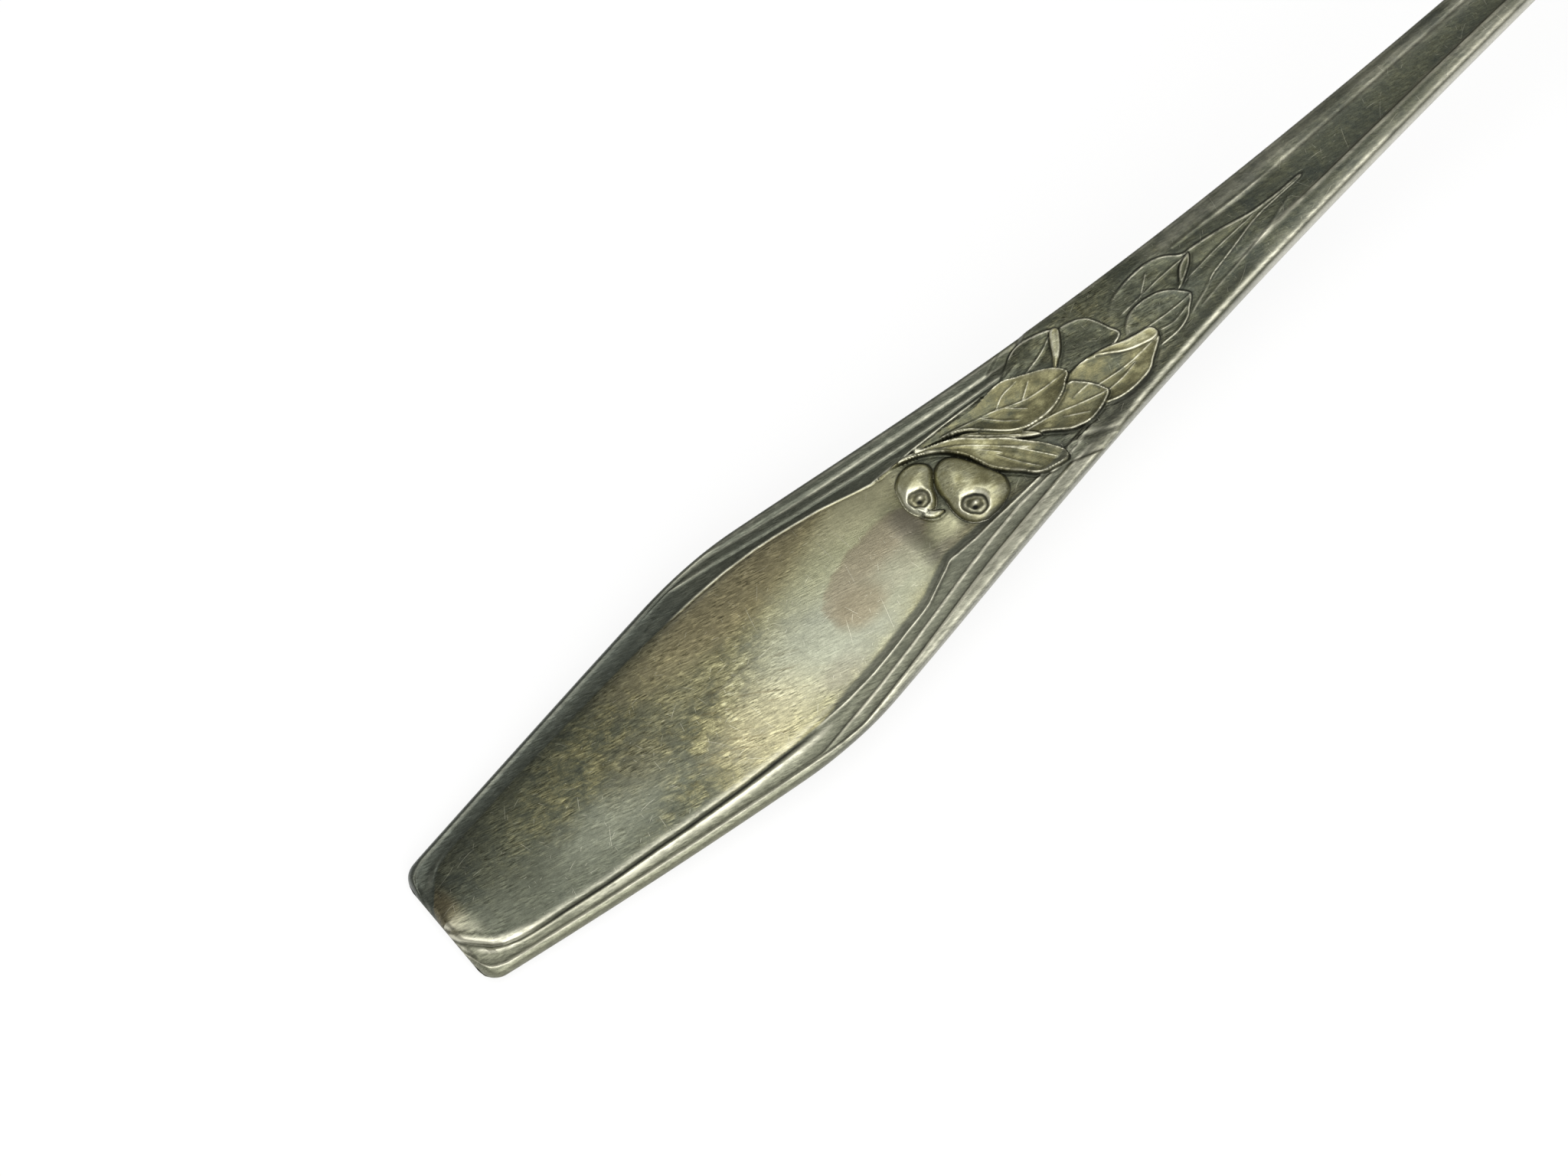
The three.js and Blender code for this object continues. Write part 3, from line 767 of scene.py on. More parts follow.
        # crown: a ring cut into the end, a low disc in it, and a bud with a hole beside it
        middle = np.array(fruit["crown"]) + sprigShift
        u, v = along - middle[0], across - middle[1]
        radius, angle = np.hypot(u, v), np.arctan2(v, u)
        long = fruit["long"] * np.cos(2 * (angle - fruit["turn"]))
        rough = 0.03 * np.cos(3 * angle + 1) + 0.02 * np.cos(7 * angle)
        out = radius - fruit["crownRadius"] * (1 + long + rough)
        flat = body.max() * crownShape["flat"]
        body = mix(body, np.minimum(body, flat), 1 - ease(out, 0.1, 0.7))
        body -= crownShape["floor"] * (1 - ease(out, -0.25, 0))
        deep, inset, width = crownShape["ring"]
        body -= deep * bell(out + inset, width)
        rise, inset, width = crownShape["waves"]
        body += rise * np.cos(9 * angle + 3 * radius) * bell(out + inset, width)
        bud, hole = (
            bell(u - a, c) * bell(v - b, d) for a, b, c, d in (crownShape["bud"], crownShape["hole"]))
        body += crownShape["budRise"] * bud - crownShape["holeDepth"] * hole + self.chased[spot] * 0.5
        cover = ease(depth, -0.18, 0.15)
        under = 0.04 * bell(depth + 0.2, 0.25)
        self.level[spot] = mix(self.level[spot] - under * (1 - cover), body, cover)
        tone = fruit["tone"] * mix(0.8, 1.15, self.patchy[spot])
        tone = tone * mix(0.3, 1, ease(out, -0.25, 0)) + 0.6 * bud
        self.tone[spot] = mix(self.tone[spot], tone, cover)
        # painted highlight: a bright crescent just outside the crown, on the side that faces the light
        glint = bell(out - 0.16, 0.2) * ease(np.cos(angle - fruit["glint"]), -0.1, 0.7)
        disc = bell(out + 0.45, 0.12)
        # the crown's ring, hole and middle are darkened, tarnish in the hollows together with painted shade
        sootAndShade = bell(out + 0.15, 0.14) + 1.3 * hole + ease(-out, 0.55, 0.75) * (1 - bud)
        self.rim[spot] = mix(self.rim[spot], glint * 0.8 + disc * 0.3 + bud * 0.7, cover)
        self.shade[spot] = mix(self.shade[spot], sootAndShade, cover)
        self.markEdge(spot, np.minimum(depth, 1), np.where(depth > 0, 1, np.abs(depth)), depth > 0)
        self.markEdge(spot, out * 0.65, np.abs(out) * 0.65, out < 0)

    def addRidge(self, line, rise, width, bright=0):
        spot, along, across = self.window(line)
        gap = lineDistance(along, across, line, False)
        self.rim[spot] += bright * bell(gap, 0.13)
        self.level[spot] += rise * (bell(gap, width) - 0.4 * bell(gap, width * 3))

    def finish(self):
        self.level = soften(self.level, 0.8)
        flat = np.where(self.inside, self.level, self.ridgeLevel)
        fine, broad = (flat - soften(flat, reliefPaint[k] / self.step) for k in ("fine", "broad"))

        def layer(gap, name):
            gain, share = reliefPaint[name]
            return np.clip(gap * gain, 0, 1) * share

        self.crest = layer(fine, "fineCrest") + layer(broad, "broadCrest")
        self.hollow = layer(-fine, "fineHollow") + layer(-broad, "broadHollow")
        place, near = self.place[:, None], self.across > 0
        self.crest *= mix(1, 0.1 + 0.7 * self.patchy, ease(place, 98, 110))
        leafy = np.maximum(np.clip(self.tone * 4, 0, 1), self.leafy)
        self.crest *= mix(1, 0.06 + 0.36 * self.patchy, leafy)
        self.rim *= mix(0.6 + 0.55 * self.patchy, 0.35 + 0.75 * self.patchy, ease(place, 84, 94))
        dulled = np.where(near, 1, mix(1, 0.1, span(place, 42, 50, 86, 92)))
        self.crest = np.clip(self.crest * self.handled * dulled * self.inside, 0, 1)
        self.crest += self.rim * reliefPaint["lineCrest"]
        self.hollow *= self.handled * mix(1, 1.4, np.clip(self.tone * 2 - 0.6, 0, 1))
        far = mix(1, 0.55, span(place, 42, 50, 84, 90))
        between = ease(np.abs(self.across), self.panel + 0.9, self.panel + 1.2) * (1 - ease(place, 38, 46))
        self.hollow *= 1 - 0.6 * between
        framed = span(place, 60, 68, 84, 88) * (1 - np.clip(self.tone * 4, 0, 1))
        self.hollow *= np.where(near, mix(1, 0.15, ease(place, 106, 116)) * (1 - 0.5 * framed), far)
        # the painted shade joins the tarnish of the hollows
        self.hollow += self.shade

    def painted(self):
        return [
            self.crest, self.hollow, self.tone, self.border, self.edge, self.near, self.vein, self.veinNear,
        ]

    def sample(self, field, at, across):
        u = np.clip(at / self.step, 0, len(self.at) - 1.001)
        v = np.clip((across - self.across[0]) / self.step, 0, len(self.across) - 1.001)
        i, j = u.astype(int), v.astype(int)
        a, b = u - i, v - j
        low = field[i, j] * (1 - b) + field[i, j + 1] * b
        high = field[i + 1, j] * (1 - b) + field[i + 1, j + 1] * b
        return low * (1 - a) + high * a


face = StruckFace()
for name in leafOrder["behind"]:
    face.addLeaf(leaves[name])
for ridge in stemRidges:
    face.addRidge(smoothLoop(ridge, False), 0.1, 0.2)
for sign in (-1, 1):
    reed = np.array(faceLines["tipReed"]) * (1, sign)
    face.addRidge(smoothLoop(reed - sprigShift, False), 0.14 + sign * 0.06, 0.22, 0.4 + sign * 0.3)
for name in leafOrder["between"]:
    face.addLeaf(leaves[name])
for fruit in fruits:
    face.addFruit(fruit)
for name in leafOrder["over"]:
    face.addLeaf(leaves[name])
face.finish()
print("face struck:", face.level.shape)


# Steps in Blender that the pieces share

def clearSelection():
    if bpy.context.object and bpy.context.object.mode != "OBJECT":
        bpy.ops.object.mode_set(mode="OBJECT")
    bpy.ops.object.select_all(action="DESELECT")


def editAll():
    bpy.ops.object.mode_set(mode="EDIT")
    bpy.ops.mesh.select_mode(type="VERT")
    bpy.ops.mesh.select_all(action="SELECT")


def addModifier(piece, kind, **settings):
    modifier = piece.modifiers.new(kind.title(), kind)
    for name, value in settings.items():
        setattr(modifier, name, value)
    bpy.ops.object.modifier_apply(modifier=modifier.name)


# A grid primitive bent to places worked out for each of its rows and columns
def bentGrid(name, places):
    rows, columns = places.shape[:2]
    clearSelection()
    bpy.ops.mesh.primitive_grid_add(x_subdivisions=rows - 1, y_subdivisions=columns - 1, size=2)
    piece = bpy.context.object
    piece.name = name
    piece.data.name = name
    spots = np.empty(len(piece.data.vertices) * 3)
    piece.data.vertices.foreach_get("co", spots)
    spots = spots.reshape(-1, 3)
    row = np.rint((spots[:, 0] + 1) / 2 * (rows - 1)).astype(int)
    column = np.rint((spots[:, 1] + 1) / 2 * (columns - 1)).astype(int)
    piece.data.vertices.foreach_set("co", (places[row, column] * mm).ravel())
    piece.data.update()
    return piece, row, column


def paintPoints(piece, name, values):
    layer = piece.data.attributes.new(name, "FLOAT", "POINT")
    layer.data.foreach_set("value", np.ascontiguousarray(values, np.float32))


def closeShell(piece, smooth):
    editAll()
    sameSpot = 0.002 * mm
    bpy.ops.mesh.remove_doubles(threshold=sameSpot)
    bpy.ops.mesh.fill_holes(sides=0)
    bpy.ops.mesh.select_all(action="SELECT")
    bpy.ops.mesh.normals_make_consistent(inside=False)
    bpy.ops.object.mode_set(mode="OBJECT")
    bpy.ops.object.shade_smooth_by_angle(angle=math.radians(smooth))


# Handle: struck face, rounded edges, plain back, and the tongue that laps the bowl

handleMesh = {
    "stations": [          # start, end and how many
        (0, 4, 24), (4, 40.8, 30), (40.8, 64, 36), (64, 67.4, 16), (67.4, 113.6, 380), (113.6, 131, 44),
    ],
    "stemStations": 22,
    "neckStations": 36,
    "columns": [42, 9, 4, 4, 4, 4, 3, 6],
    "sideColumns": 4,
    "backColumns": 3,
    "smooth": 52,
    "paint": ["crest", "hollow", "tone", "border", "edge", "near", "vein", "veinNear", "front"],
}
borderLayer = handleMesh["paint"].index("border")


def stationList():
    parts = [np.linspace(a, b, n, endpoint=False) for a, b, n in handleMesh["stations"]]
    last = handleMesh["stations"][-1][1]
    return np.concatenate(parts + [np.linspace(last, neckAt, handleMesh["stemStations"])])


# Half a row across the face, closest where the lines are
def columnPlaces(lines):
    panel, outerReed, innerReed, ridge, half = (
        lines[k] for k in ("panel", "outerReed", "innerReed", "ridge", "half"))
    stops = [
        panel * 0, panel - 0.5, panel + 0.35, innerReed - 0.2, innerReed + 0.1, outerReed - 0.2,
        outerReed + 0.1, ridge, half,
    ]
    for i in range(1, len(stops)):
        stops[i] = np.maximum(stops[i], stops[i - 1] + 0.03)
    stops[-1] = half
    parts = []
    for low, high, count in zip(stops, stops[1:], handleMesh["columns"]):
        parts.append(mix(low[:, None], high[:, None], np.arange(count) / count))
    placed = np.concatenate(parts + [half[:, None]], 1)
    even = half[:, None] * np.linspace(0, 1, placed.shape[1])
    return mix(placed, even, ease(lines["place"], 79, 86)[:, None])


def sideAndBack(half, backHalf, edge, depth):
    turn = np.linspace(0, math.pi / 2, handleMesh["sideColumns"] + 1)[1:]
    aside = backHalf[:, None] + (half - backHalf)[:, None] * np.cos(turn) ** 0.8
    level = -edge[:, None] - (depth - edge)[:, None] * np.sin(turn)
    share = np.linspace(1, 0, handleMesh["backColumns"] + 1)[1:]
    aside = np.concatenate([aside, backHalf[:, None] * share], 1)
    return aside, np.concatenate([level, -depth[:, None] + 0 * share], 1)


# What the face says at each column, then nothing on the side and back, where only the border goes on
def paintLayers(at, columns, sign, backLevel, edge, depth):
    layers = [
        np.concatenate([face.sample(field, at, columns * sign), 0 * backLevel], 1)
        for field in face.painted()
    ]
    layers[borderLayer][:, columns.shape[1]:] = ease(backLevel, -depth[:, None], -edge[:, None] * 1.1)
    return layers


# Rings run from the middle of the back, up the one side, over the face and down the other
def wholeRing(farHalf, nearHalf):
    return np.concatenate([farHalf[:, ::-1], nearHalf[:, 1:]], 1)


def bladeRings():
    at = stationList()
    lines = linesAt(at)
    depth = thicknessAt(at)
    edge = np.minimum(handleSize["edgeDrop"], depth * 0.6)
    inset = np.minimum(depth * 0.35, lines["half"] * 0.45)
    backAside, backLevel = sideAndBack(lines["half"], lines["half"] - inset, edge, depth)
    tipRound = 0.85 * np.maximum(1 - at / 0.9, 0) ** 2
    x, z, upX, upZ = sideAt(at)
    halves = []
    for sign in (-1, 1):
        lines = linesAt(at, sign)
        columns = columnPlaces(lines)
        places = at[:, None] + 0 * columns
        beyond = ease(columns, lines["ridge"][:, None] + 0.1, lines["half"][:, None])
        level = face.sample(face.level, places, columns * sign)
        level[:, -1] = -edge
        level = level - tipRound[:, None]
        aside = np.concatenate([columns, backAside], 1) * sign
        height = np.concatenate([level, backLevel + 0.3 * np.maximum(1 - at / 0.6, 0)[:, None] ** 2], 1)
        spot = np.stack([
            x[:, None] + upX[:, None] * height,
            aside,
            z[:, None] + upZ[:, None] * height,
        ], 2)
        paint = paintLayers(places, columns, sign, backLevel, edge, depth)
        onFace = paint[borderLayer][:, :columns.shape[1]]
        np.maximum(onFace, beyond, out=onFace)
        paint.append(np.concatenate([1 - beyond, 0 * backAside], 1))
        halves.append(np.concatenate([spot, np.stack(paint, 2)], 2))
    return wholeRing(*halves)


def tongueWidth(part):
    end = jointSize["flareEnd"]
    rounding = np.sqrt(np.maximum(1 - (np.maximum(part - end, 0) / (1 - end)) ** 2.2, 0))
    width = mix(outlineHalf(neckAt), jointSize["tongueHalf"], ease(part, 0, end)) * rounding
    return np.maximum(width, jointSize["tongueEdge"])


tongueEnd = 1 - jointSize["tongueLength"] / bowlSideLength


def wallPoint(part, clearance):
    share = jointSize["neckShare"]
    down = np.clip((part - share) / (1 - share), 0, 1)
    radius, level = sidePoint(mix(1, tongueEnd, down), clearance)
    return radius, mix(rimTop, level, ease(down, 0, 0.12))


def neckRings():
    part = np.linspace(0, 1, handleMesh["neckStations"] + 1)[1:]
    share = jointSize["neckShare"]
    seat, tip = jointSize["seat"], jointSize["tongueEdge"]
    x, z, upX, upZ = sideAt(neckAt)
    depth = thicknessAt(neckAt)
    back = np.array([x - upX * depth, z - upZ * depth])
    way = np.array([-upZ, upX])
    sweep = bezier([
        back,
        back + way * handleSize["neckLength"] * 0.62,
        sidePoint(mix(tongueEnd, 1, 0.62), seat + tip * 3.2),
        sidePoint(tongueEnd, seat + tip),
    ], 2001)[np.rint(part * 2000).astype(int)]
    onStem = np.minimum(part / share, 1)
    stemX, stemZ, _, _ = sideAt(mix(neckAt, handleRun[-1] - seat, onStem))
    wallX, wallZ = wallPoint(part, seat)
    onWall = part >= share
    topX, topZ = np.where(onWall, wallX, stemX), np.where(onWall, wallZ, stemZ)
    outX, outZ = sweep[:, 0] - topX, sweep[:, 1] - topZ
    depth = np.hypot(outX, outZ)
    outX, outZ = outX / depth, outZ / depth
    half = tongueWidth(part)
    neckHalf = outlineHalf(neckAt)
    columns = columnPlaces(linesAt(np.array([neckAt])))
    stretch = columns * (half / neckHalf)[:, None]
    edge = np.minimum(mix(handleSize["edgeDrop"], tip, part), depth * 0.6)
    backAside, backLevel = sideAndBack(half, half * mix(0.55, 0.4, part), edge, depth)
    halves = []
    for sign in (-1, 1):
        level = face.sample(face.level, neckAt + 0 * columns, columns * sign)
        level[:, -1] = -handleSize["edgeDrop"]
        level = level * (1 - onStem)[:, None]
        level[:, -1] = -edge
        aside = np.concatenate([stretch, backAside], 1) * sign
        height = np.concatenate([level, backLevel], 1)
        roundBowl = np.sqrt(np.maximum(topX[:, None] ** 2 - aside ** 2, 1))
        startX = np.where(onWall[:, None], roundBowl, topX[:, None])
        spot = np.stack([
            startX - outX[:, None] * height,
            aside,
            topZ[:, None] - outZ[:, None] * height,
        ], 2)
        paint = paintLayers(neckAt + 0 * stretch, columns, sign, backLevel, edge, depth)
        fading = borderLayer + 1  # these grow faint towards the bowl, the distances after them don't
        paint[:fading] = [layer * mix(1, 0.5, onStem)[:, None] for layer in paint[:fading]]
        paint.append(np.concatenate([1 + 0 * stretch, 0 * backAside], 1))
        halves.append(np.concatenate([spot, np.stack(paint, 2)], 2))
    return wholeRing(*halves)


def makeHandle():
    rings = np.concatenate([bladeRings(), neckRings()])
    piece, row, column = bentGrid("handleStruck", rings[:, :, :3])
    for k, name in enumerate(handleMesh["paint"]):
        paintPoints(piece, name, rings[row, column, 3 + k])
    closeShell(piece, handleMesh["smooth"])
    print("handle made, faces:", len(piece.data.polygons))
    return piece


# Bowl: a ring at the rim, drawn in and down to the foot, then given its wall

def makeBowl():
    clearSelection()
    along = np.linspace(1, 0, bowlSize["rings"])
    radius, level = sidePoint(along, 0)
    level[0] = bowlSize["height"]
    bpy.ops.mesh.primitive_circle_add(
        vertices=bowlSize["segments"], radius=radius[0] * mm, location=(0, 0, level[0] * mm),
        fill_type="NOTHING")
    piece = bpy.context.object
    piece.name = "bowlDrawn"
    bpy.ops.object.transform_apply(location=True)
    editAll()
    foot = [bowlSize["foot"] * k for k in (0.66, 0.33)]
    radius, level = np.append(radius, foot), np.append(level, [0, 0])
    for i in range(1, len(radius)):
        drop, shrink = (level[i] - level[i - 1]) * mm, radius[i] / radius[i - 1]
        bpy.ops.mesh.extrude_region_move(TRANSFORM_OT_translate={"value": (0, 0, drop)})
        bpy.ops.transform.resize(value=(shrink, shrink, 1), center_override=(0, 0, 0))
    bpy.ops.mesh.edge_face_add()
    bpy.ops.mesh.select_all(action="SELECT")
    bpy.ops.mesh.normals_make_consistent(inside=False)
    bpy.ops.object.mode_set(mode="OBJECT")
    outward = sum(p.normal.x * p.center.x + p.normal.y * p.center.y for p in piece.data.polygons)
    if outward < 0:
        editAll()
        bpy.ops.mesh.flip_normals()
        bpy.ops.object.mode_set(mode="OBJECT")
    addModifier(piece, "SOLIDIFY", thickness=bowlSize["wall"] * mm, offset=-1, use_even_offset=True)
    addModifier(piece, "BEVEL", width=bowlSize["rimRound"] * mm, segments=4, limit_method="ANGLE",
                angle_limit=math.radians(bowlSize["smooth"]))
    bpy.ops.object.shade_smooth_by_angle(angle=math.radians(bowlSize["smooth"]))
    print("bowl made, faces:", len(piece.data.polygons))
    return piece


# Braze: a thin skin on the bowl that runs out from under the tongue

seamMesh = {
    "rows": 60,
    "columns": 48,
    "skin": 0.9,
    "thinnest": 0.03,
    "inner": 0.05,
    "edge": 0.9,
    "belowRim": 1.1,
    "smooth": 40,
}


def makeSeam():
    share = jointSize["neckShare"]
    part = np.linspace(share, 1, seamMesh["rows"])
    aside = np.linspace(-1, 1, seamMesh["columns"])
    radius, level = wallPoint(part, 0)
    level = np.minimum(level, bowlSize["height"] - seamMesh["belowRim"])
    reach = jointSize["seamMargin"] * ease(1.001 - part, 0, 0.05)
    half = tongueWidth(part) + reach
    level = level - jointSize["seamMargin"] * ease(part, 0.9, 1)
    across = half[:, None] * aside[None, :]
    inset = np.minimum(half[:, None] - np.abs(across), (1.0001 - part)[:, None] * 40)
    swell = seamMesh["skin"] * np.sqrt(np.clip(inset / seamMesh["edge"], 0, 1))
    shells = []
    for offset in (0 * swell, seamMesh["thinnest"] + swell):
        out = radius[:, None] + seamMesh["inner"] + offset
        shells.append(np.stack([np.sqrt(out ** 2 - across ** 2), across, level[:, None] + 0 * across], 2))
    ring = np.concatenate([shells[0], shells[1][:, ::-1], shells[0][:, :1]], 1)
    piece, _, _ = bentGrid("brazeSeam", ring)
    closeShell(piece, seamMesh["smooth"])
    print("seam made, faces:", len(piece.data.polygons))
    return piece


# Shader sums: a socket that takes part in plain expressions

class Wire:
    def __init__(self, finish, socket):
        self.finish = finish
        self.socket = socket

    def __add__(self, other):
        return self.finish.math("ADD", self, other)

    def __sub__(self, other):
        return self.finish.math("SUBTRACT", self, other)

    def __rsub__(self, other):
        return self.finish.math("SUBTRACT", other, self)

    def __mul__(self, other):
        return self.finish.math("MULTIPLY", self, other)

    def __truediv__(self, other):
        return self.finish.math("DIVIDE", self, other)

    def __pow__(self, other):
        return self.finish.math("POWER", self, other)

    __radd__ = __add__
    __rmul__ = __mul__


class Finish:
    def __init__(self, name):
        self.material = bpy.data.materials.new(name)
        self.material.use_nodes = True
        self.tree = self.material.node_tree
        self.tree.nodes.clear()

    def node(self, kind, settings=None, sockets=None, out=0):
        made = self.tree.nodes.new(kind)
        for name, value in (settings or {}).items():
            if name == "stops":
                while len(made.color_ramp.elements) < len(value):
                    made.color_ramp.elements.new(1)
                for element, (spot, colour) in zip(made.color_ramp.elements, value):
                    element.position = spot
                    element.color = (*colour, 1)
            else:
                setattr(made, name, value)
        for name, value in (sockets or {}).items():
            if isinstance(value, Wire):
                self.tree.links.new(value.socket, made.inputs[name])
            else:
                made.inputs[name].default_value = value
        return Wire(self, made.outputs[out]) if made.outputs else None

    def math(self, operation, first, second=0.0):
        return self.node("ShaderNodeMath", {"operation": operation}, {0: first, 1: second})

    def clamp(self, value):
        return self.node("ShaderNodeClamp", None, {"Value": value})

    def spread(self, value, low, high):
        return self.node("ShaderNodeMapRange", {"interpolation_type": "SMOOTHSTEP"},
                         {"Value": value, "From Min": low, "From Max": high})

    def span(self, value, start, full, fading, end):
        return self.spread(value, start, full) * (1 - self.spread(value, fading, end))

    def blend(self, share, first, second, kind="MIX"):
        colours = [c if isinstance(c, Wire) else (*c, 1) for c in (first, second)]
        return self.node("ShaderNodeMix", {"data_type": "RGBA", "blend_type": kind},
                         {0: share, 6: colours[0], 7: colours[1]}, 2)

    def stretched(self, scale, turn=0.0, shift=(0, 0, 0)):
        spot = self.node("ShaderNodeTexCoord", out=3)
        return self.node("ShaderNodeMapping", {"vector_type": "TEXTURE"}, {
            "Vector": spot, "Scale": [mm / k for k in scale], "Rotation": (0, 0, turn),
            "Location": [k * mm for k in shift]})

    def noise(self, vector, detail=4.0, rough=0.55, bend=0.0):
        return self.node("ShaderNodeTexNoise", None, {
            "Vector": vector, "Scale": 1.0, "Detail": detail, "Roughness": rough, "Distortion": bend})

    # lighter and darker patches about nought
    def mottle(self, scale, turn, detail, rough, bend):
        return self.noise(self.stretched(scale, turn), detail, rough, bend) - 0.5

    def paint(self, name):
        return self.node("ShaderNodeAttribute", {"attribute_name": name}, None, 2)

    def places(self):
        spot = self.node("ShaderNodeTexCoord", out=3)
        return [self.node("ShaderNodeSeparateXYZ", None, {0: spot}, k) * (1 / mm) for k in range(3)]

    # one short scratch in each cell, each lying its own way
    def scratches(self, size, width, reach, share, shift=(0, 0, 0)):
        spot = self.stretched((1 / size, 1 / size, 0.2 / size), 0.0, shift)
        cells = {"Vector": spot, "Scale": 1.0}
        middle = self.node("ShaderNodeTexVoronoi", None, cells, 2)
        chance = self.node("ShaderNodeTexVoronoi", None, cells, 1)
        away = self.node("ShaderNodeVectorMath", {"operation": "SUBTRACT"}, {0: spot, 1: middle})
        u, v = (self.node("ShaderNodeSeparateXYZ", None, {0: away}, k) for k in (0, 1))
        turn, long, there = (self.node("ShaderNodeSeparateColor", None, {0: chance}, k) for k in (0, 1, 2))
        fullTurn = 6.283
        cosine, sine = (self.math(k, turn * fullTurn) for k in ("COSINE", "SINE"))
        bend = u * u * 0.35
        across = self.math("ABSOLUTE", v * cosine - u * sine + bend)
        along = self.math("ABSOLUTE", u * cosine + v * sine)
        line = 1 - self.spread(across, width * 0.3 / size, width / size)
        end = 1 - self.spread(along / (long * 0.8 + 0.2), reach * 0.3 / size, reach / size)
        return line * end * self.spread(there, 1 - share - 0.05, 1 - share + 0.05)

    def scratchLayers(self, layers):
        first, *others = (self.scratches(*layer) for layer in layers)
        for other in others:
            first = self.math("MAXIMUM", first, other)
        return first

    def metal(self, colour, rough, height, strength, deep):
        normal = self.node("ShaderNodeBump", None, {"Height": height, "Strength": strength, "Distance": deep})
        shader = self.node("ShaderNodeBsdfPrincipled", None, {
            "Base Color": colour, "Metallic": 1.0, "Roughness": self.clamp(rough), "Normal": normal})
        self.node("ShaderNodeOutputMaterial", None, {"Surface": shader})
        return self.material


# Tarnished plate of the handle

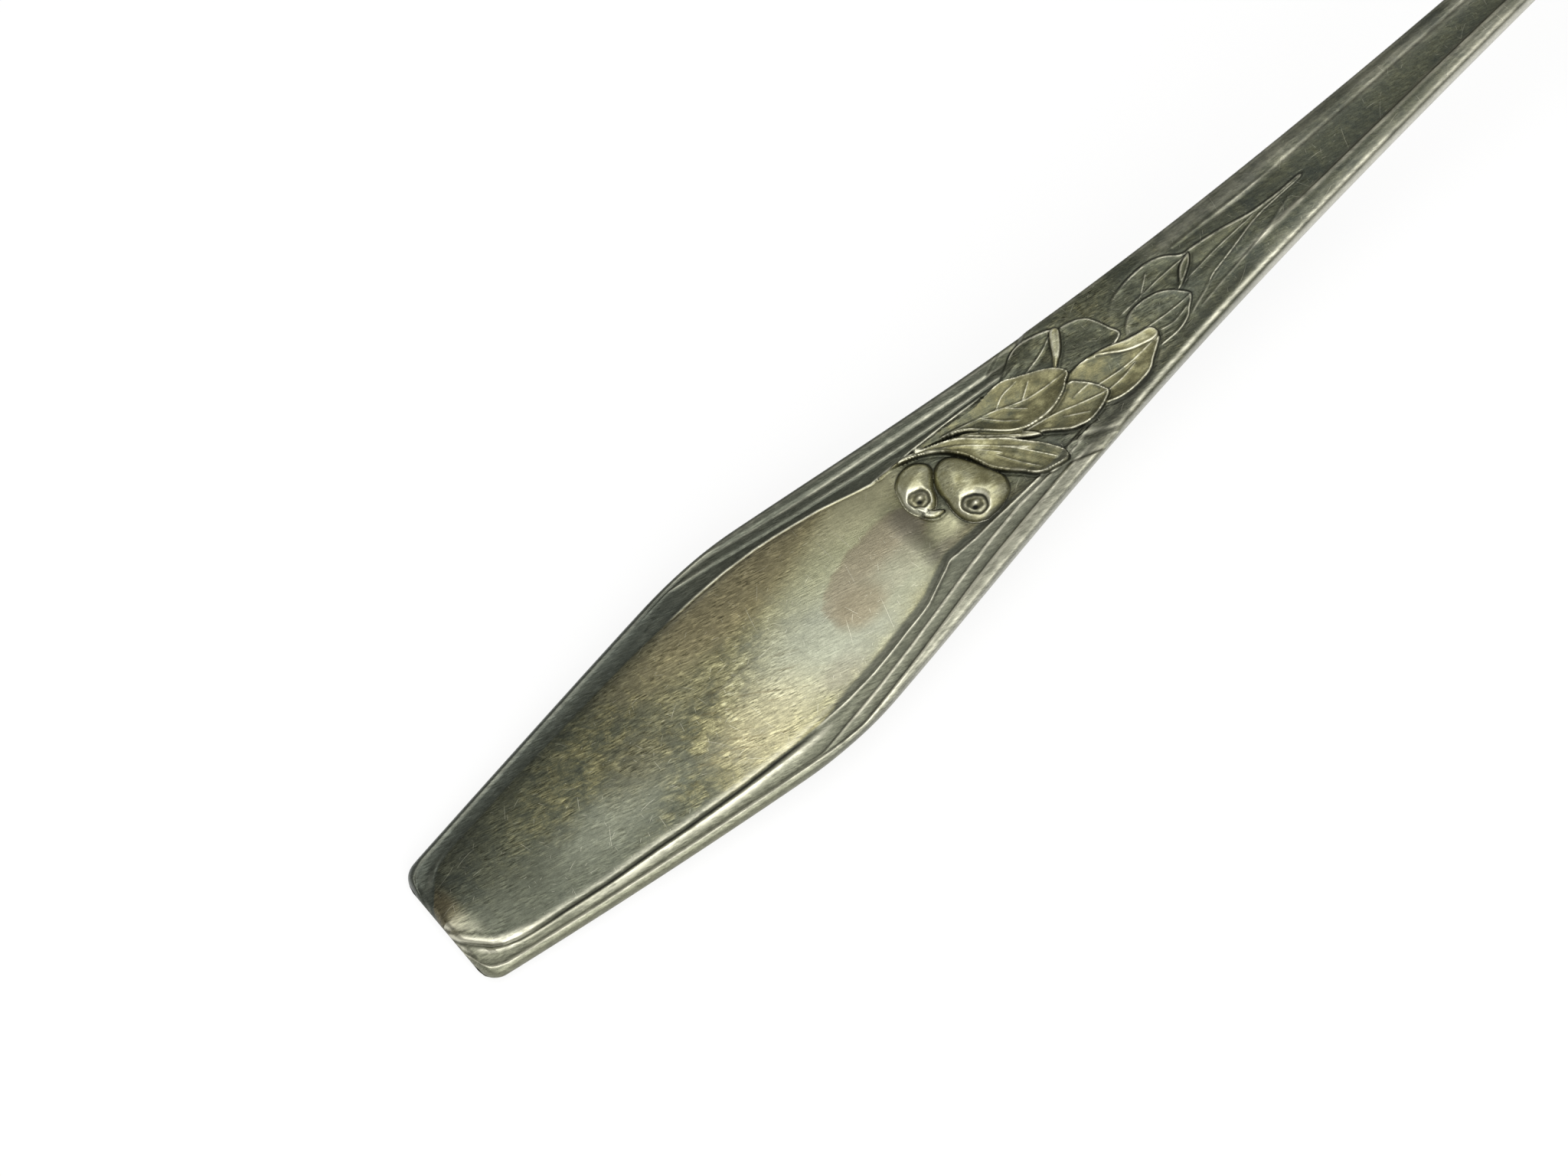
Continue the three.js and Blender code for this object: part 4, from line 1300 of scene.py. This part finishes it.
tarnish = {
    "ramp": [
        (0.0, (0.052, 0.058, 0.047)), (0.24, (0.088, 0.091, 0.060)), (0.44, (0.148, 0.139, 0.074)),
        (0.6, (0.240, 0.227, 0.122)), (0.78, (0.340, 0.332, 0.212)), (1.0, (0.460, 0.458, 0.345)),
    ],
    "nearBlade": (0.222, 0.225, 0.162),
    "nearFrame": (0.115, 0.118, 0.087),
    "nearSide": (0.480, 0.480, 0.420),
    "stemSide": (0.640, 0.630, 0.540),
    "farEdge": (0.210, 0.225, 0.212),
    "farBlade": (0.068, 0.075, 0.063),
    "farFrame": (0.088, 0.093, 0.072),
    "worn": (0.620, 0.605, 0.480),
    "sootAndShade": (0.028, 0.029, 0.024),
    "rub": (0.110, 0.088, 0.044),
    "rubShare": 0.45,
    "crestWearAndHighlight": 0.85,
    "hollowSootAndShade": 0.55,
    "edgeWearAndHighlight": 0.8,
    "edgeSoot": 0.5,
    "ribWear": 0.55,
    # fineness along, across and up, then turn, detail, roughness and bend of each mottle
    "cloud": ((0.15, 0.18, 0.15), 0.0, 5.0, 0.55, 0.6),
    "blotch": ((0.55, 0.4, 0.5), 0.5, 5.0, 0.65, 0.7),
    "streak": ((0.42, 1.5, 1.0), -0.25, 6.0, 0.7, 0.3),
    "fleck": ((1.0, 3.2, 2.2), -0.2, 5.0, 0.72, 0.2),
    "stroke": ((0.9, 6.0, 4.0), -0.27, 2.0, 0.6, 0.12),
    "grain": ((6.0, 6.0, 6.0), 0.0, 3.0, 0.7, 0.0),
    # each layer of scratches: how far apart, width, reach, share that is there, shift
    "scratches": [
        (2.4, 0.045, 1.0, 0.3),
        (4.6, 0.05, 2.6, 0.4, (3.3, 1.7, 0)),
        (1.2, 0.045, 0.45, 0.25, (7.1, 4.9, 0)),
    ],
    # places where the flecks are fainter: middle, reach, softness and share
    "calm": [
        ((15, 4), (13, 4.4), 0.5, 0.6),
        ((57, 1.5), (13, 8.5), 0.4, 0.8),
        ((55, 4.5), (12, 5), 0.5, 0.3),
        ((64, -4), (6, 4.5), 0.4, 0.8),
    ],
    # stained patches on the plain panel, with a painted highlight on the tip corner and painted shade in a
    # recess: middle, reach, softness, colour, share and, for two, tilt
    "stainsAndPaintedLight": [
        ((12.0, 4.6), (15.0, 5.2), 0.5, (0.072, 0.078, 0.058), 0.82),
        ((21.0, 3.0), (7.0, 2.6), 0.8, (0.195, 0.205, 0.155), 0.55),
        ((26.5, 0.0), (4.0, 3.0), 0.7, (0.105, 0.102, 0.067), 0.62),
        ((36.5, -3.5), (5.0, 3.5), 0.7, (0.205, 0.194, 0.114), 0.5),
        ((48.0, -7.2), (17.0, 3.4), 0.5, (0.280, 0.242, 0.136), 0.6),
        ((51.0, 3.4), (9.5, 5.4), 0.7, (0.262, 0.276, 0.220), 0.8),
        ((49.5, 7.8), (3.2, 1.6), 0.6, (0.190, 0.178, 0.135), 0.55),
        ((59.5, -2.8), (8.5, 3.4), 0.6, (0.340, 0.345, 0.228), 0.65),
        ((39.5, 6.2), (6.5, 3.8), 0.7, (0.330, 0.305, 0.195), 0.55),
        ((0.4, -0.8), (1.4, 3.2), 0.6, (0.160, 0.128, 0.068), 0.5),
        ((60.3, 1.1), (8.1, 3.6), 0.07, (0.165, 0.130, 0.084), 0.45, 0.16),
        ((60.5, 1.0), (7.7, 3.3), 0.15, (0.218, 0.194, 0.136), 0.8, 0.16),
        ((66.4, -0.3), (2.3, 2.0), 0.5, (0.160, 0.151, 0.120), 0.5),
        ((61.5, 4.2), (6.5, 2.6), 0.6, (0.205, 0.210, 0.152), 0.75),
        ((55.8, 3.5), (3.2, 2.2), 0.4, (0.180, 0.156, 0.104), 0.75),
        ((55.0, 7.0), (4.0, 1.4), 0.6, (0.200, 0.206, 0.160), 0.5),
        ((47.0, -6.6), (7.5, 2.6), 0.6, (0.130, 0.105, 0.050), 0.1),
        ((69.2, 2.9), (1.8, 1.5), 0.6, (0.430, 0.420, 0.270), 0.9),
        ((63.5, -5.6), (6.0, 2.4), 0.5, (0.390, 0.375, 0.240), 0.8),
        ((65.2, 2.7), (2.4, 1.7), 0.5, (0.150, 0.144, 0.100), 0.55),
        ((67.4, 4.8), (2.4, 0.9), 0.6, (0.130, 0.122, 0.095), 0.7),
        # painted highlight: a bright patch on the rounded tip corner, near side
        ((0.9, 2.6), (1.3, 2.4), 0.7, (0.360, 0.365, 0.265), 0.5),
        ((73.0, 5.8), (5.0, 1.8), 0.6, (0.175, 0.158, 0.092), 0.6),
        # painted shade: a dark patch in the near-side recess past the border's cut ends
        ((90.0, 6.2), (7.0, 1.8), 0.5, (0.046, 0.047, 0.038), 0.65),
    ],
}


def ovalMask(finish, along, across, centre, size, soft, wobble, tilt=0.0):
    u = (along - centre[0]) / size[0]
    v = (across - centre[1] + (along - centre[0]) * tilt) / size[1]
    return 1 - finish.spread((u * u + v * v) ** 0.5 + wobble, 1 - soft, 1 + soft)


def tarnishedSilver():
    finish = Finish("tarnishedSilver")
    x, across, _ = finish.places()
    along = (tipX - handleSize["photoTip"]) - x
    crest, hollow, tone, border, edge, near, vein, veinNear, front = (
        finish.paint(k) for k in handleMesh["paint"])
    cloud, blotch, streak, fleck, stroke, grain = (
        finish.mottle(*tarnish[k]) for k in ("cloud", "blotch", "streak", "fleck", "stroke", "grain"))
    wobble = cloud * 0.8 + blotch * 0.5

    # how far the tarnish is worn off, from dark to bright
    far = across * -1 + wobble * 4 - finish.spread(along, 50, 64) * 4
    pale = finish.spread(along + across * 0.85 + wobble * 18, 35, 48) * (1 - finish.spread(far, 4, 8))
    pale = pale * (1 - finish.spread(along + wobble * 3, 67, 70)) * front * (1 - border)
    belt = ovalMask(finish, along, across, (30, -0.5), (19, 9), 0.5, wobble)
    bare = 0.12 + belt * 0.21 + pale * 0.38 + tone * 0.56 + (1 - front) * 0.2
    bare = bare + finish.spread(along, 66, 74) * 0.06 - finish.spread(along, 98, 112) * 0.08
    busy = 0.45 + belt * 0.5 - pale * 0.3
    bare = bare + cloud * 0.45 + (blotch * 1.1 + streak * 0.5 + fleck * 0.5) * busy + grain * 0.2
    bare = bare - finish.spread(across * -1, 5.5, 9.5) * 0.07 * (1 - pale) * (1 - belt * 0.6)
    colour = finish.node("ShaderNodeValToRGB", {"stops": tarnish["ramp"]}, {0: finish.clamp(bare)})
    plain = front * (1 - border) * (1 - finish.clamp(tone * 3))
    for middle, reach, soft, patchColour, share, *tilt in tarnish["stainsAndPaintedLight"]:
        ragged = wobble * (soft * 0.7 + 0.25) + streak * 0.3
        mask = ovalMask(finish, along, across, middle, reach, soft, ragged, *tilt)
        colour = finish.blend(mask * plain * share, colour, patchColour)
    farSide = finish.spread(across * -1, -2, 2)
    framed = finish.spread(along, 36, 48)
    tarnishedReed = border * finish.span(along, 62, 70, 84, 90) * (1 - farSide)
    nearBand, farBand = (
        finish.blend(framed, tarnish[k + "Blade"], tarnish[k + "Frame"]) for k in ("near", "far"))
    band = finish.blend(farSide, nearBand, farBand)
    colour = finish.blend(finish.clamp(border * (0.8 + fleck * 1.2)), colour, band)
    colour = finish.blend(tarnishedReed * front * 0.3, colour, tarnish["sootAndShade"])
    side = (1 - front) * border
    nearEdge = side * finish.spread(across, 1, 3)
    colour = finish.blend(nearEdge * finish.spread(along, 34, 62) * 0.8, colour, tarnish["nearSide"])
    colour = finish.blend(nearEdge * finish.spread(along, 106, 120) * 0.7, colour, tarnish["stemSide"])
    colour = finish.blend(side * farSide * 0.6, colour, tarnish["farEdge"])
    fruit = finish.spread(tone, 0.72, 0.92)
    speckle = 1 + (fleck * 0.9 + streak * 0.5) * busy + grain * 0.7 + blotch * 0.35
    calm = finish.spread(along, 98, 112) * 0.7
    for middle, reach, soft, share in tarnish["calm"]:
        calm = calm + ovalMask(finish, along, across, middle, reach, soft, wobble) * share
    lively = (0.7 + plain * 2.1 + fruit + border * front * 1.1) * (1 - finish.clamp(calm) * 0.72)
    lively = lively * (0.5 + finish.spread(blotch + fleck * 0.5, -0.1, 0.12))
    colour = finish.blend(1.0, colour, finish.math("MAXIMUM", speckle + stroke * lively, 0.3), "MULTIPLY")

    scratch = finish.scratchLayers(tarnish["scratches"])
    scratch = scratch * finish.clamp(plain + fruit * 0.8)
    colour = finish.blend(scratch * (0.14 + bare * 0.36), colour, tarnish["worn"])
    # long dark rubs across the flecks
    rub = finish.spread(finish.noise(finish.stretched((0.14, 2.0, 1.0), -0.55), 2.0, 0.5, 0.25), 0.6, 0.66)
    rub = rub * ovalMask(finish, along, across, (39.5, 4.5), (8, 5), 0.5, wobble) * plain
    colour = finish.blend(rub * tarnish["rubShare"], colour, tarnish["rub"])
    worn = finish.spread(fleck + streak * 0.9 + cloud * 0.8, -0.22, 0.14)
    # crests worn bright, carrying also the painted highlights of the fruit crowns and the tip
    wearAndHighlight = finish.clamp(crest * (0.5 + 0.5 * worn))
    colour = finish.blend(wearAndHighlight * tarnish["crestWearAndHighlight"], colour, tarnish["worn"])
    # tarnish in the hollows and the painted shade darken the colour
    colour = finish.blend(finish.clamp(hollow * tarnish["hollowSootAndShade"]), colour, tarnish["sootAndShade"])
    # a thin bright line inside each leaf's edge, worn bright and brighter where the edge faces the light
    # (painted highlight), a dark one outside it, and bright ribs
    close = 1 - finish.spread(near, 0.28, 0.45)
    inner = finish.span(edge, -0.03, 0.04, 0.09, 0.2) * close
    outer = finish.span(edge, -0.24, -0.12, -0.06, 0.02) * close
    rib = 1 - finish.spread(finish.math("ABSOLUTE", vein), 0.03, 0.1)
    rib = rib * (1 - finish.spread(veinNear, 0.2, 0.35))
    broken = 0.15 + 0.85 * finish.spread(fleck + streak * 0.9 + blotch * 0.9 + cloud * 0.6, -0.18, 0.13)
    broken = broken * (1 - 0.45 * finish.spread(along, 97, 107))
    colour = finish.blend(finish.clamp(outer * tarnish["edgeSoot"]), colour, tarnish["sootAndShade"])
    bright = finish.clamp(inner * tarnish["edgeWearAndHighlight"] + rib * tarnish["ribWear"])
    colour = finish.blend(bright * broken, colour, tarnish["worn"])

    rough = 0.4 - pale * 0.06 - wearAndHighlight * 0.1 + hollow * 0.2 - scratch * 0.06 + cloud * 0.2 - fleck * 0.15
    height = scratch * -0.5 + fleck * 0.6 + blotch * 0.6 + grain * 0.4 + stroke * 1.2
    return finish.metal(colour, rough, height, 0.22, 0.05 * mm)


# Plainer plate of the bowl

plate = {
    "ramp": [
        (0.0, (0.075, 0.076, 0.060)), (0.3, (0.150, 0.140, 0.098)), (0.55, (0.265, 0.250, 0.185)),
        (0.8, (0.360, 0.350, 0.280)), (1.0, (0.450, 0.445, 0.370)),
    ],
    "worn": (0.640, 0.625, 0.520),
    "cloud": ((0.035, 0.035, 0.06), 0.0, 6.0, 0.55, 0.6),
    "spot": ((0.3, 0.3, 0.3), 0.0, 6.0, 0.62, 0.3),
    "grain": ((2.8, 2.8, 2.8), 0.0, 4.0, 0.7, 0.0),
    "scratches": [(3.4, 0.06, 1.5, 0.35), (7.5, 0.07, 4.2, 0.45, (2.7, 5.1, 0))],
    "turning": 2.4,           # fine rings that the lathe left, to the millimetre
}


def wornSilver():
    finish = Finish("wornSilver")
    x, across, up = finish.places()
    radius = (x * x + across * across) ** 0.5
    cloud, spot, grain = (finish.mottle(*plate[k]) for k in ("cloud", "spot", "grain"))
    turned = [k * plate["turning"] for k in (radius, up)]
    turned = finish.node("ShaderNodeCombineXYZ", None, {0: turned[0], 1: turned[1]})
    rings = finish.noise(turned, 3.0, 0.7) - 0.5
    rim = finish.spread(up + cloud * 2, bowlSize["height"] - 1.3, bowlSize["height"] - 0.3)
    joint = ovalMask(finish, x, across, (bowlSize["radius"], 0), (16, 15), 0.6, cloud)
    bare = 0.56 + cloud * 1.0 + spot * 0.4 + grain * 0.15 + rings * 0.22 + rim * 0.3 - joint * 0.3
    bare = bare - finish.spread(bowlSize["height"] - up, 28, 38) * 0.16
    colour = finish.node("ShaderNodeValToRGB", {"stops": plate["ramp"]}, {0: finish.clamp(bare)})
    pit = finish.spread(finish.noise(finish.stretched((0.7, 0.7, 0.7)), 3.0, 0.5, 0.4), 0.66, 0.74)
    colour = finish.blend(pit * 0.4, colour, plate["ramp"][0][1])
    scratch = finish.scratchLayers(plate["scratches"])
    colour = finish.blend(scratch * 0.2, colour, plate["worn"])
    colour = finish.blend(rim * 0.5, colour, plate["worn"])
    rough = 0.3 + cloud * 0.2 - spot * 0.15 + rings * 0.2 - rim * 0.06 - scratch * 0.05 + pit * 0.15
    height = scratch * -0.5 + rings * 0.5 + grain * 0.4
    return finish.metal(colour, rough, height, 0.12, 0.05 * mm)


# Braze, dull and browned in patches

brazeColour = {"clean": (0.42, 0.385, 0.28), "browned": (0.12, 0.105, 0.075)}


def silverBraze():
    finish = Finish("silverBraze")
    cloud = finish.noise(finish.stretched((0.6, 0.6, 0.6)), 5.0, 0.6, 0.6)
    grain = finish.noise(finish.stretched((3.5, 3.5, 3.5)), 4.0, 0.7)
    colour = finish.blend(finish.spread(cloud, 0.35, 0.65), brazeColour["clean"], brazeColour["browned"])
    rough = 0.42 + (grain - 0.5) * 0.25
    height = grain + cloud
    return finish.metal(colour, rough, height, 0.3, 0.08 * mm)


def dress(piece, node, material):
    piece.data.materials.clear()
    piece.data.materials.append(material)
    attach(piece, "root")
    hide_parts(node)


dress(makeHandle(), "handle", tarnishedSilver())
dress(makeBowl(), "bowl", wornSilver())
dress(makeSeam(), "braze_seam", silverBraze())


# Floor, light and camera

studio = {
    "floorHalf": 40.0,
    "floorColour": (0.92, 0.92, 0.92),
    "floorGlow": 0.8,
    "worldColour": (0.56, 0.56, 0.55),
    "lamps": [
        {"name": "nearBox", "spot": (0.40, 0.75, 0.60), "aim": (0.19, 0.0, 0.0), "size": 0.9, "watts": 6.5},
        {"name": "topBox", "spot": (0.22, 0.06, 1.05), "aim": (0.19, 0.0, 0.0), "size": 0.75, "watts": 4.4},
    ],
}

photoCamera = {
    "target": (tipX - handleSize["photoTip"] - 53.21, -6.29, tipTop - handleSize["edgeDrop"]),
    "distance": 249.885,
    "elevation": 65.0,
    "turn": 41.456,
    "lens": 50.0,
    "sensor": 36.0,
    "clipStart": 0.005,
}


def aimed(spot, aim):
    way = np.array(aim, float) - np.array(spot, float)
    tilt = math.atan2(math.hypot(way[0], way[1]), -way[2])
    return tilt, 0, math.atan2(-way[0], way[1])


def makeFloor():
    clearSelection()
    bpy.ops.mesh.primitive_plane_add(size=studio["floorHalf"] * 2)
    floor = bpy.context.object
    floor.name = "floor"
    finish = Finish("floorPaper")
    paper = finish.node("ShaderNodeBsdfDiffuse", None, {"Color": (*studio["floorColour"], 1)})
    glow = finish.node("ShaderNodeEmission", None, {"Color": (1, 1, 1, 1), "Strength": 1.0})
    seen = [finish.node("ShaderNodeLightPath", None, None, k)
            for k in ("Is Camera Ray", "Is Glossy Ray", "Is Transmission Ray")]
    share = finish.clamp(seen[0] + seen[1] + seen[2]) * studio["floorGlow"]
    both = finish.node("ShaderNodeMixShader", None, {0: share, 1: paper, 2: glow})
    finish.node("ShaderNodeOutputMaterial", None, {"Surface": both})
    floor.data.materials.append(finish.material)


def makeLight():
    world = bpy.data.worlds.new("studioWorld")
    bpy.context.scene.world = world
    world.use_nodes = True
    world.node_tree.nodes["Background"].inputs["Color"].default_value = (*studio["worldColour"], 1)
    for lamp in studio["lamps"]:
        clearSelection()
        turn = aimed(lamp["spot"], lamp["aim"])
        bpy.ops.object.light_add(type="AREA", location=lamp["spot"], rotation=turn)
        light = bpy.context.object
        light.name = lamp["name"]
        light.data.shape = "SQUARE"
        light.data.size = lamp["size"]
        light.data.energy = lamp["watts"]


def makeCamera():
    tilt, turn = math.radians(photoCamera["elevation"]), math.radians(photoCamera["turn"])
    back = np.array([math.sin(turn) * math.cos(tilt), math.cos(turn) * math.cos(tilt), math.sin(tilt)])
    target = np.array(photoCamera["target"])
    spot = (target + back * photoCamera["distance"]) * mm
    clearSelection()
    bpy.ops.object.camera_add(location=spot, rotation=aimed(spot, target * mm))
    camera = bpy.context.object
    camera.data.lens = photoCamera["lens"]
    camera.data.sensor_width = photoCamera["sensor"]
    camera.data.clip_start = photoCamera["clipStart"]
    bpy.context.scene.camera = camera


makeFloor()
makeLight()
makeCamera()
bpy.context.scene.view_settings.view_transform = "Standard"
print("studio set")
